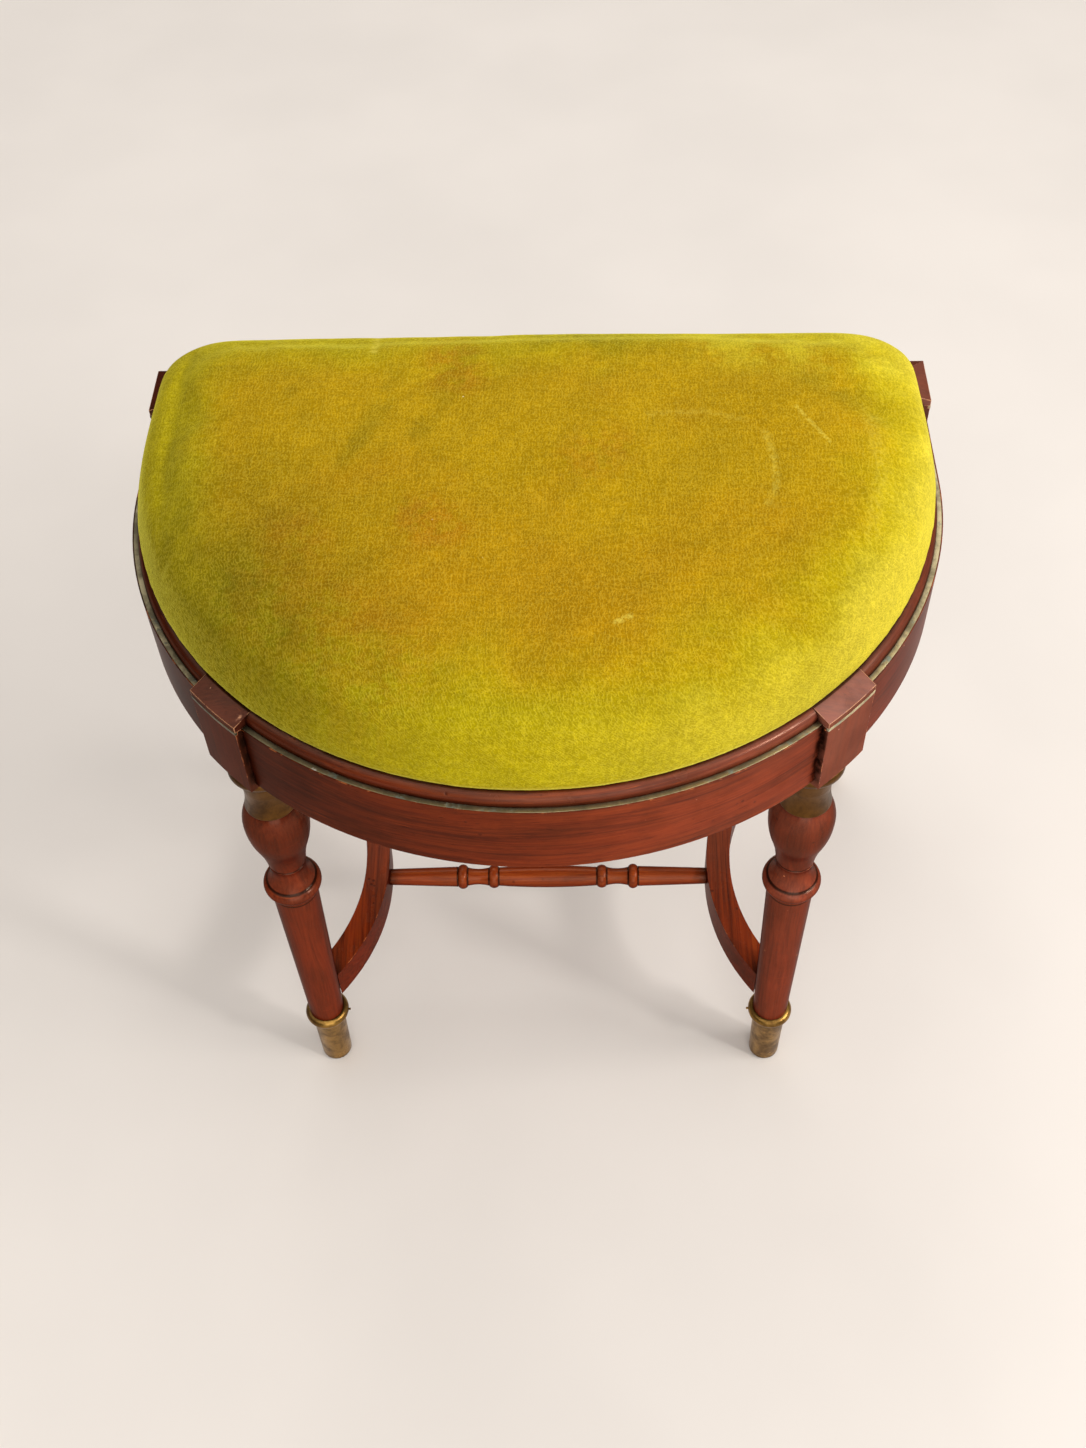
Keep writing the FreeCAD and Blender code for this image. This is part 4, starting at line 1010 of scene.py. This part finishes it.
        # Painted sheen: a pale band along the rim, on the right
        painted_rim_sheen = b.times(b.between(inside, 0.040, 0.003, 0.0, 0.26),
                       b.between(x, -0.02, 0.25, 0.0, 1.0))
        layers = (
            (warm, self.amber),
            (b.between(inside, 0.085, 0.012, 0.0, 0.85), self.green),
            (mossy, self.moss),
            (self.above_bead(b, z, self.green_band, 0.5), self.green),
            (b.strokes(flat, self.browned, self.stain_breaks), self.brown),
            # Painted light, painted shade in folds, painted sheen on the rim, painted highlight
            # along the lower edge
            (b.strokes(flat, self.lit, self.soft_breaks), self.sunny),
            (b.strokes(flat, self.fold_shade_and_brushing, self.soft_breaks), self.moss),
            (painted_rim_sheen, self.pale),
            (self.above_bead(b, z, self.edge_highlight_band, 0.55), self.pale),
        )
        colour: Value = self.gold
        for share, layer in layers:
            colour = b.blend(share, colour, layer)
        return colour

    def pile(self, b: Surface) -> tuple[Socket, Socket]:
        """Crushed ribs of pile that wind about, and the nap's fine grain.

        Args:
            b: Bench of the material.

        Returns:
            Height of the ribs from 0 to 1, and the nap.
        """
        place = b.place
        x, _, z = b.split(place)
        wander = b.times(b.noise(place, 110.0, 2.0), 22.0)
        phase = b.times(b.plus(x, b.times(z, 1.3)), 2 * math.pi / self.rib)
        wave = b.between(b.math("SINE", b.plus(phase, wander)), -0.1, 0.95)
        level = b.noise(b.vector("MULTIPLY", place, (1.0, 0.75, 1.0)), 380.0, 1.0)
        worms = b.between(b.apart(level, 0.5), 0.01, 0.09, 1.0, 0.0)
        broken = b.between(b.noise(place, 380.0, 1.0), 0.38, 0.56)
        ribs = b.plus(b.times(wave, broken, 0.5), b.times(worms, 0.5))
        return ribs, b.noise(place, 1300.0, 2.0, 0.6)


@dataclass(frozen=True)
class SteelFinish:
    """Blued tacks with a little rust."""

    blued: Colour = (0.05, 0.055, 0.065)
    rusty: Colour = (0.16, 0.07, 0.03)

    def build(self) -> bpy.types.Material:
        """Make the material.

        Returns:
            The material.
        """
        b = Surface("blued_tack_steel")
        rust = b.between(b.noise(b.place, 420.0, 4.0, 0.6), 0.5, 0.66)
        b.shine(Base_Color=b.blend(rust, self.blued, self.rusty),
                Metallic=b.minus(1.0, rust), Roughness=b.between(rust, 0.0, 1.0, 0.35, 0.8))
        return b.material


def dress(names: tuple[str, ...], material: bpy.types.Material) -> None:
    """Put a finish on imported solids.

    Args:
        names: Names of the solids.
        material: The finish.
    """
    for name in names:
        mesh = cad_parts[name].data
        mesh.materials.clear()
        mesh.materials.append(material)
    LOG.info("%s: %s", material.name, ", ".join(names))


@dataclass
class Timber:
    """The wooden frame and its brass lines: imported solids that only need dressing."""

    effects: Effects
    rails: tuple[str, ...] = ("front_rail", *paired("side_rail"))
    beads: tuple[str, ...] = ("front_bead", *paired("side_bead"))
    caps: tuple[str, ...] = paired("front_cap", "rear_cap")
    blocks: tuple[str, ...] = paired("front_block", "rear_block")
    back: tuple[str, ...] = ("back_rail", "back_bead")
    inlay: tuple[str, ...] = ("front_brass_line", *paired("side_brass_line"),
                              "back_brass_line",
                              *paired("front_block_slip", "rear_block_slip"))
    glue: tuple[str, ...] = ("front_glue_blocks", "rear_glue_blocks")
    stains: tuple[Mark, ...] = (
        Mark((-0.087, -0.179, 0.452), (-0.084, -0.180, 0.444), 0.0042, 0.85),
        Mark((-0.079, -0.181, 0.456), (-0.077, -0.182, 0.449), 0.0034, 0.75),
        Mark((-0.055, -0.190, 0.450), (-0.052, -0.190, 0.446), 0.0036, 0.75),
        Mark((0.036, -0.186, 0.452), (0.039, -0.186, 0.446), 0.0030, 0.75),
        Mark((-0.020, -0.196, 0.436), (-0.012, -0.196, 0.436), 0.0030, 0.60))
    chips: tuple[Mark, ...] = (
        Mark((-0.1846, -0.1381, 0.486), (-0.1797, -0.1327, 0.486), 0.0022, 1.0),
        Mark((0.2120, -0.1026, 0.484), (0.2140, -0.1005, 0.484), 0.0030, 1.0))
    # Painted shadows in the gaps where the rails meet the blocks
    gap_shadows: tuple[Mark, ...] = upright_marks(
        0.484, 0.424, (0.1797, -0.1372, 0.0062, 1.0), (-0.1797, -0.1372, 0.0040, 0.9),
        (0.2115, -0.1060, 0.0045, 0.9), (-0.2115, -0.1060, 0.0045, 0.9))
    rubs: tuple[Mark, ...] = upright_marks(0.474, 0.440, (-0.1835, -0.1412, 0.0016, 0.8))
    nicks: tuple[Mark, ...] = (
        Mark((-0.1316, -0.1680, 0.479), (-0.1304, -0.1686, 0.479), 0.0020, 1.0),)

    def dress(self) -> None:
        """Give every piece of the frame its finish."""
        looks = (
            (self.rails, WoodLook(
                "rail_mahogany", Grain.ROUND_THE_SEAT, linear(150, 62, 24),
                linear(112, 38, 13), linear(52, 14, 6), linear(214, 122, 58), wear=0.5,
                specular=0.24, painted_reflection=0.18, bump=0.2, left_shade=0.22, right_light=1.28,
                contrast=0.55, stains_and_shadows=self.stains + self.gap_shadows)),
            (self.beads, WoodLook(
                "bead_mahogany", Grain.ROUND_THE_SEAT, linear(150, 62, 22),
                linear(102, 32, 11), linear(44, 12, 6), linear(216, 124, 60), wear=0.42,
                roughness=0.16, specular=0.5, painted_reflection=0.16, left_shade=0.42, right_light=1.2,
                dirt_and_shade_reach=0.006)),
            (self.caps, WoodLook(
                "cap_mahogany", Grain.SIDE_TO_SIDE, linear(128, 58, 34),
                linear(96, 34, 18), linear(46, 14, 8), linear(224, 160, 110), wear=0.8,
                roughness=0.2, specular=0.5, painted_reflection=0.42, left_shade=0.5, right_light=1.25,
                dirt_and_shade_reach=0.004, rubbed=self.chips)),
            (self.blocks, WoodLook(
                "block_mahogany", Grain.UPRIGHT, linear(120, 50, 20), linear(88, 31, 12),
                linear(46, 14, 6), linear(222, 128, 66), wear=0.6, specular=0.4, painted_reflection=0.36,
                left_shade=0.72, right_light=1.6, contrast=0.62, dirt_and_shade_reach=0.018,
                rubbed=self.rubs, stains_and_shadows=self.gap_shadows)),
            (self.back, WoodLook(
                "back_mahogany", Grain.SIDE_TO_SIDE, linear(146, 58, 21),
                linear(108, 36, 12), linear(56, 15, 6), linear(210, 122, 62))),
            (self.glue, WoodLook(
                "glue_block_pine", Grain.UPRIGHT, linear(196, 158, 108),
                linear(168, 126, 80), linear(118, 82, 50), linear(206, 176, 130),
                roughness=0.75, varnish=(1.0, 1.0, 1.0), cloud=0.2,
                cloud_tint=linear(120, 92, 62))),
        )
        wood = WoodFinish(self.effects)
        for names, look in looks:
            dress(names, wood.build(look))
        line = BrassLook("line_brass", linear(156, 144, 112), linear(84, 76, 58),
                         linear(104, 110, 96), crust_share=0.55, tarnish_share=0.8,
                         dirt_and_shade=0.55, left_shade=0.5, right_light=2.1, nicks=self.nicks)
        dress(self.inlay, BrassFinish(self.effects).build(line))


@dataclass
class Underframe:
    """Legs, stretchers, collars and ferrules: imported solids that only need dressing."""

    effects: Effects
    legs: tuple[str, ...] = paired("leg_front", "leg_rear")
    sides: tuple[str, ...] = paired("side_stretcher")
    cross: tuple[str, ...] = ("cross_stretcher",)
    collars: tuple[str, ...] = paired("collar_front", "collar_rear")
    ferrules: tuple[str, ...] = (*paired("ferrule_front", "ferrule_rear"), "ferrule_pins")
    leg_scores: tuple[float, ...] = (0.2910, 0.2688, 0.2575, 0.2515)
    cross_scores: tuple[float, ...] = (0.0414, 0.0498, 0.0678, 0.0762)

    def dress(self) -> None:
        """Give every turned and brass piece its finish."""
        wood = WoodFinish(self.effects)
        leg = WoodLook("turned_mahogany", Grain.UPRIGHT, linear(166, 68, 32),
                       linear(122, 43, 19), linear(46, 12, 6), linear(220, 122, 62),
                       roughness=0.15, specular=0.45, wear=0.35, figure_size=1.3,
                       left_shade=0.86, right_light=1.12, under_seat_shade=0.64, painted_reflection=0.10,
                       dirt_and_shade_reach=0.014, contrast=0.34, bump=0.12, scored=self.leg_scores)
        side = WoodLook("side_stretcher_mahogany", Grain.FRONT_TO_BACK, linear(156, 56, 14),
                        linear(106, 30, 7), linear(40, 9, 3), linear(216, 120, 58),
                        roughness=0.22, contrast=0.5, painted_reflection=0.03, bump=0.2)
        cross = WoodLook("cross_stretcher_mahogany", Grain.SIDE_TO_SIDE,
                         linear(176, 78, 26), linear(128, 43, 13), linear(62, 17, 6),
                         linear(226, 140, 78), roughness=0.15, specular=0.45, figure_size=1.3,
                         contrast=0.4, dirt_and_shade_reach=0.012, bump=0.12, scored=self.cross_scores)
        for names, look in ((self.legs, leg), (self.sides, side), (self.cross, cross)):
            dress(names, wood.build(look))
        brass = BrassFinish(self.effects)
        collar = BrassLook("collar_brass", linear(98, 66, 30), linear(50, 32, 15),
                           linear(46, 34, 20), crust_share=0.16, tarnish_share=0.7)
        ferrule = BrassLook("ferrule_brass", linear(160, 122, 60), linear(94, 67, 33),
                            linear(70, 58, 36), crust_share=0.3, roughness=0.27)
        dress(self.collars, brass.build(collar))
        dress(self.ferrules, brass.build(ferrule))


@dataclass
class SeatInside:
    """What the velvet hides and the underside shows: wood, webbing, hessian, lining, tacks."""

    effects: Effects
    boards: tuple[str, ...] = ("seat_frame_front", *paired("seat_frame"), "seat_frame_back")
    webbing: tuple[str, ...] = ("webbing_front_to_back", "webbing_side_to_side")

    def dress(self) -> None:
        """Give every inner piece its finish."""
        beech = WoodLook("seat_frame_beech", Grain.SIDE_TO_SIDE, linear(206, 170, 122),
                         linear(180, 140, 94), linear(136, 98, 62), linear(214, 186, 140),
                         roughness=0.7, varnish=(1.0, 1.0, 1.0), cloud=0.2,
                         cloud_tint=linear(130, 100, 70))
        dress(self.boards, WoodFinish(self.effects).build(beech))
        cloth = ClothFinish(self.effects)
        jute = ClothLook("jute_webbing", linear(172, 140, 92), linear(124, 94, 56), 420.0,
                         linear(110, 58, 40), 0.0005)
        hessian = ClothLook("hessian_cloth", linear(160, 130, 84), linear(112, 86, 50), 500.0)
        lining = ClothLook("black_lining", linear(62, 56, 50), linear(34, 30, 28), 900.0,
                           depth=0.00015)
        for names, look in ((self.webbing, jute), (("hessian",), hessian),
                            (("dust_cover",), lining)):
            dress(names, cloth.build(look))
        dress(("cover_tacks",), SteelFinish().build())


@dataclass
class Cushion:
    """The drop-in seat's padded velvet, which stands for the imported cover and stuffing."""

    velvet: bpy.types.Material
    seat_edge: float = RAIL_RADIUS - 0.014
    corner: float = 0.023
    corner_growth: float = 0.028
    bulge: float = 0.0068
    crown_reach: float = 0.100
    crown_forward: float = 0.040
    voxel: float = 0.005
    smoothing: float = 0.5
    passes_before: int = 3
    passes_after: int = 5
    side_cap: float = 0.003
    slide_cap: float = 0.001
    top_cap: float = 0.005
    pressure: float = 4.0
    tension: float = 12.0
    bending: float = 0.4
    steps: int = 20
    front_points: int = 40
    side_points: int = 10
    hollow_depth: float = 0.0018
    hollow_scale: Spot = (9.0, 9.0, 0.0)
    hollow_seed: float = 3.0
    ripple_depth: float = 0.0005
    ripple_scale: Spot = (34.0, 34.0, 20.0)
    rear_fall: float = 0.004
    rear_start: float = 0.10
    rear_length: float = 0.09
    rear_power: int = 3
    blend_height: float = 0.02
    # For each outline up from the bead: share of the bulge, of the way in to the crown, of the
    # rounder corners, of the crown's shift forward, and of the height
    profile: tuple[tuple[float, ...], ...] = (
        (0.10, 0.0, 0.0, 0.0, 0.0),
        (0.82, 0.0, 0.0, 0.0, 0.028),
        (1.0, 0.0, 0.03, 0.0, 0.113),
        (0.91, 0.0, 0.08, 0.0, 0.245),
        (0.56, 0.0, 0.19, 0.0, 0.415),
        (0.09, 0.0, 0.39, 0.0, 0.604),
        (0.0, 0.02, 0.61, 0.0, 0.745),
        (0.0, 0.055, 0.83, 0.0, 0.845),
        (0.0, 0.14, 1.0, 0.0, 0.917),
        (0.0, 0.38, 0.6, 0.25, 0.97),
        (0.0, 1.0, 0.28, 1.0, 1.0))
    groove: tuple[tuple[float, float], ...] = (
        (-0.2436, 0.1618), (-0.2453, 0.1260), (-0.2451, 0.0794),
        (-0.2421, 0.0303), (-0.2394, -0.0071), (-0.2318, -0.0430))
    groove_width: float = 0.0045
    groove_depth: float = 0.0016
    # For each crease: its start and end, its width and its depth
    creases: tuple[tuple[float, ...], ...] = (
        (-0.112, 0.172, -0.112, 0.148, 0.004, 0.0012),
        (0.175, 0.082, 0.194, 0.047, 0.003, 0.0010),
        (0.153, 0.056, 0.158, 0.027, 0.004, 0.0009),
        (0.158, 0.027, 0.150, -0.010, 0.004, 0.0009),
        (0.200, 0.105, 0.228, 0.078, 0.006, 0.0016))
    low: Vector = field(default_factory=lambda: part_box("velvet_cover")[0])
    high: Vector = field(default_factory=lambda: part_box("velvet_cover")[1])
    pad: bpy.types.Object = field(init=False)

    def outline(self, out: float, growth: float, forward: float, height: float) -> list[Vector]:
        """Points round the pad at one height.

        Args:
            out: How far it stands out from the seat's edge.
            growth: How much rounder the rear corners are.
            forward: How far the middle of the curve moves forward.
            height: Height above the floor.

        Returns:
            The points, anticlockwise from the middle of the front.
        """
        turns, steps = self.front_points, self.side_points
        edge = self.seat_edge + out
        back = self.high.y - self.bulge + out
        corner = (self.corner + growth) * edge / self.seat_edge
        centre = CURVE_CENTRE_Y - forward
        half: list[tuple[float, float]] = []
        for step in range(turns + 1):
            angle = math.pi / 2 * step / turns
            half.append((edge * math.sin(angle), centre - edge * math.cos(angle)))
        for step in range(1, steps + 1):
            half.append((edge, centre + (back - corner - centre) * step / steps))
        for step in range(1, steps + 1):
            angle = math.pi / 2 * step / steps
            half.append((edge - corner + corner * math.cos(angle),
                         back - corner + corner * math.sin(angle)))
        for step in range(1, turns // 2 + 1):
            half.append(((edge - corner) * (1 - 2 * step / turns), back))
        points = half + [(-x, y) for x, y in half[-2:0:-1]]
        return [Vector((x, y, height)) for x, y in points]

    def sections(self) -> list[list[Vector]]:
        """Outlines from the underside to the crown.

        Returns:
            The outlines.
        """
        rise = self.high.z - BEAD_TOP
        rows = [self.outline(0.0, 0.0, 0.0, self.low.z)]
        for bulge, inward, corner, forward, share in self.profile:
            rows.append(self.outline(bulge * self.bulge - inward * self.crown_reach,
                                     corner * self.corner_growth, forward * self.crown_forward,
                                     BEAD_TOP + share * rise))
        return rows

    def body(self) -> None:
        """Build the closed pad before it is swollen."""
        mesh = bpy.data.meshes.new("velvet_pad")
        work = bmesh.new()
        rows = [[work.verts.new(point) for point in row] for row in self.sections()]
        for lower, upper in zip(rows, rows[1:]):
            for index in range(len(lower)):
                after = (index + 1) % len(lower)
                work.faces.new((lower[index], lower[after], upper[after], upper[index]))
        work.faces.new(rows[0][::-1])
        work.faces.new(rows[-1])
        work.to_mesh(mesh)
        work.free()
        self.pad = bpy.data.objects.new("velvet_pad", mesh)
        bpy.context.scene.collection.objects.link(self.pad)

    def apply(self) -> None:
        """Turn the pad's modifiers into its mesh."""
        graph = bpy.context.evaluated_depsgraph_get()
        shaped = bpy.data.meshes.new_from_object(self.pad.evaluated_get(graph))
        self.pad.modifiers.clear()
        old = self.pad.data
        self.pad.data = shaped
        bpy.data.meshes.remove(old)

    def smooth(self, passes: int) -> None:
        """Even the pad out, together with any modifier it has.

        Args:
            passes: How many times.
        """
        modifier = self.pad.modifiers.new("soft", "SMOOTH")
        modifier.iterations = passes
        modifier.factor = self.smoothing
        self.apply()

    def remesh(self) -> None:
        """Give the pad an even mesh with softened corners."""
        modifier = self.pad.modifiers.new("even", "REMESH")
        modifier.mode = "VOXEL"
        modifier.voxel_size = self.voxel
        self.smooth(self.passes_before)

    def swell(self) -> None:
        """Blow the pad up a little with cloth, held where it sits in the rails."""
        pad = self.pad
        rest = [vertex.co.copy() for vertex in pad.data.vertices]
        facing = [vertex.normal.copy() for vertex in pad.data.vertices]
        held = pad.vertex_groups.new(name="held")
        for index, point in enumerate(rest):
            held.add([index], 1.0 if point.z < BEAD_TOP else 0.0, "REPLACE")
        cloth = pad.modifiers.new("cloth", "CLOTH")
        cloth.settings.vertex_group_mass = "held"
        cloth.settings.use_pressure = True
        cloth.settings.uniform_pressure_force = self.pressure
        cloth.settings.effector_weights.gravity = 0.0
        cloth.settings.tension_stiffness = self.tension
        cloth.settings.bending_stiffness = self.bending
        cloth.point_cache.frame_start = 1
        cloth.point_cache.frame_end = self.steps
        scene = bpy.context.scene
        for step in range(1, self.steps + 1):
            scene.frame_set(step)
        self.apply()
        scene.frame_set(1)
        for vertex, start, normal in zip(pad.data.vertices, rest, facing):
            move = vertex.co - start
            outward = max(0.0, move.dot(normal))
            slide = move - normal * move.dot(normal)
            if slide.length > self.slide_cap:
                slide *= self.slide_cap / slide.length
            cap = self.side_cap + (self.top_cap - self.side_cap) * max(0.0, normal.z)
            vertex.co = start + normal * min(outward, cap) + slide
        self.smooth(self.passes_after)

    def refine(self) -> None:
        """Subdivide the pad once."""
        modifier = self.pad.modifiers.new("fine", "SUBSURF")
        modifier.levels = 1
        modifier.render_levels = 1
        self.apply()

    def roughly(self, point: Vector, scale: Spot, seed: float = 0.0) -> float:
        """Give a smooth random value at a point.

        Args:
            point: The point.
            scale: Waves in a metre along each axis.
            seed: Which set of waves.

        Returns:
            A value from about -1 to 1.
        """
        x, y, z = (part * size for part, size in zip(point, scale))
        return noise.noise(Vector((x, y, z + seed)))

    def crease(self) -> None:
        """Press the seen creases and the soft hollows of use into the velvet."""
        rows = [(*start, *end, self.groove_width, self.groove_depth)
                for start, end in zip(self.groove, self.groove[1:])]
        creases = [(Vector(row[0:2]), Vector(row[2:4]), *row[4:])
                   for row in (*rows, *self.creases)]
        for vertex in self.pad.data.vertices:
            point = vertex.co
            lift = max(0.0, min(1.0, (point.z - BEAD_TOP) / self.blend_height))
            hollow = self.roughly(point, self.hollow_scale, self.hollow_seed)
            ripple = self.roughly(point, self.ripple_scale)
            move = (hollow * self.hollow_depth + ripple * self.ripple_depth) * lift
            flat = Vector((point.x, point.y))
            pressed = 0.0
            for start, end, width, depth in creases:
                along = end - start
                share = max(0.0, min(1.0, (flat - start).dot(along) / along.length_squared))
                gap = (flat - start - along * share).length
                pressed = max(pressed, depth * math.exp(-(gap / width) ** 2))
            rear = (max(0.0, (point.y - self.rear_start) / self.rear_length)
                    * abs(point.x / self.seat_edge) ** self.rear_power)
            fall = (pressed + rear * self.rear_fall) * lift
            vertex.co = point + Vector((0.0, 0.0, move - fall))

    def build(self) -> bpy.types.Object:
        """Make the cushion and hang it on the seat.

        Returns:
            The cushion.
        """
        self.body()
        self.remesh()
        self.swell()
        self.refine()
        self.crease()
        pad = self.pad
        for polygon in pad.data.polygons:
            polygon.use_smooth = True
        pad.data.materials.append(self.velvet)
        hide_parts("velvet_cover", "stuffing")
        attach(pad, "seat")
        LOG.info("%s: %d faces", pad.name, len(pad.data.polygons))
        return pad


@dataclass(frozen=True)
class Lamp:
    """One square soft light that points at the stool."""

    name: str
    place: Spot
    size: float
    power: float
    tint: Colour = (1.0, 0.99, 0.98)
    target: Spot = (0.0, 0.0, 0.35)

    def hang(self) -> None:
        """Put the light up."""
        data = bpy.data.lights.new(self.name, "AREA")
        data.size = self.size
        data.energy = self.power
        data.color = self.tint
        lamp = bpy.data.objects.new(self.name, data)
        lamp.location = self.place
        aim = Vector(self.target) - Vector(self.place)
        lamp.rotation_euler = aim.to_track_quat("-Z", "Y").to_euler()
        bpy.context.scene.collection.objects.link(lamp)


@dataclass
class Studio:
    """Pale floor, soft light and the camera at the photograph's angle."""

    camera_place: Spot = (0.0373, -0.7599, 1.2664)
    pitch: float = 51.535
    yaw: float = -2.705
    roll: float = 2.519
    lens: float = 40.53
    sensor: float = 36.0
    clip: tuple[float, float] = (0.05, 50.0)
    floor_size: float = 14.0
    floor_colour: Colour = linear(227, 219, 211)
    floor_darker: float = 0.95
    air: Colour = (1.0, 0.985, 0.97)
    lamps: tuple[Lamp, ...] = (
        Lamp("key", (3.2, -0.5, 2.1), 1.5, 52.0, (1.0, 0.985, 0.97)),
        Lamp("glint", (2.3, -1.2, 2.0), 0.34, 26.0),
        Lamp("back", (-0.4, 1.9, 2.4), 1.6, 14.0),
        Lamp("low_front", (0.4, -3.2, 1.3), 2.3, 42.0),
        Lamp("above", (0.0, -1.2, 3.4), 2.6, 5.0))

    def floor(self) -> None:
        """Lay the floor."""
        work = bmesh.new()
        bmesh.ops.create_grid(work, x_segments=2, y_segments=2, size=self.floor_size / 2)
        mesh = bpy.data.meshes.new("floor")
        work.to_mesh(mesh)
        work.free()
        floor = bpy.data.objects.new("floor", mesh)
        bpy.context.scene.collection.objects.link(floor)
        b = Surface("pale_floor")
        darker = tuple(part * self.floor_darker for part in self.floor_colour)
        tone = b.between(b.noise(b.place, 3.0), 0.3, 0.7)
        b.shine(Base_Color=b.blend(tone, darker, self.floor_colour), Roughness=0.7,
                Specular_IOR_Level=0.25)
        mesh.materials.append(b.material)

    def surroundings(self) -> None:
        """Fill the room with even light, brighter above where polish mirrors it."""
        world = bpy.data.worlds.new("studio")
        world.use_nodes = True
        b = NodeBench(world.node_tree)
        height = b.split(b.add("ShaderNodeTexCoord").outputs["Generated"])[2]
        seen = b.between(height, -0.1, 0.9, 0.28, 0.78)
        mirrored = b.between(height, 0.35, 0.85, 0.06, 1.8)
        glossy = b.add("ShaderNodeLightPath").outputs["Is Glossy Ray"]
        b.fill(world.node_tree.nodes["Background"], Color=self.air,
               Strength=b.plus(b.times(glossy, b.minus(mirrored, seen)), seen))
        bpy.context.scene.world = world

    def camera(self) -> None:
        """Set the camera."""
        data = bpy.data.cameras.new("camera")
        data.lens = self.lens
        data.sensor_width = self.sensor
        data.clip_start, data.clip_end = self.clip
        camera = bpy.data.objects.new("camera", data)
        turn = (Matrix.Rotation(math.radians(-self.yaw), 3, "Z")
                @ Matrix.Rotation(math.radians(90.0 - self.pitch), 3, "X")
                @ Matrix.Rotation(math.radians(-self.roll), 3, "Z"))
        camera.matrix_world = Matrix.Translation(self.camera_place) @ turn.to_4x4()
        bpy.context.scene.collection.objects.link(camera)
        bpy.context.scene.camera = camera

    def build(self) -> None:
        """Set everything up."""
        bpy.context.scene.view_settings.view_transform = "Standard"
        self.floor()
        self.surroundings()
        for lamp in self.lamps:
            lamp.hang()
        self.camera()


def main() -> None:
    """Build every piece in order."""
    logging.basicConfig(level=logging.INFO, format="%(name)s: %(message)s")
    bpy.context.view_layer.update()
    Studio().build()
    effects = Effects()
    Timber(effects).dress()
    Underframe(effects).dress()
    SeatInside(effects).dress()
    Cushion(VelvetFinish().build()).build()


if __name__ == "__main__":
    main()
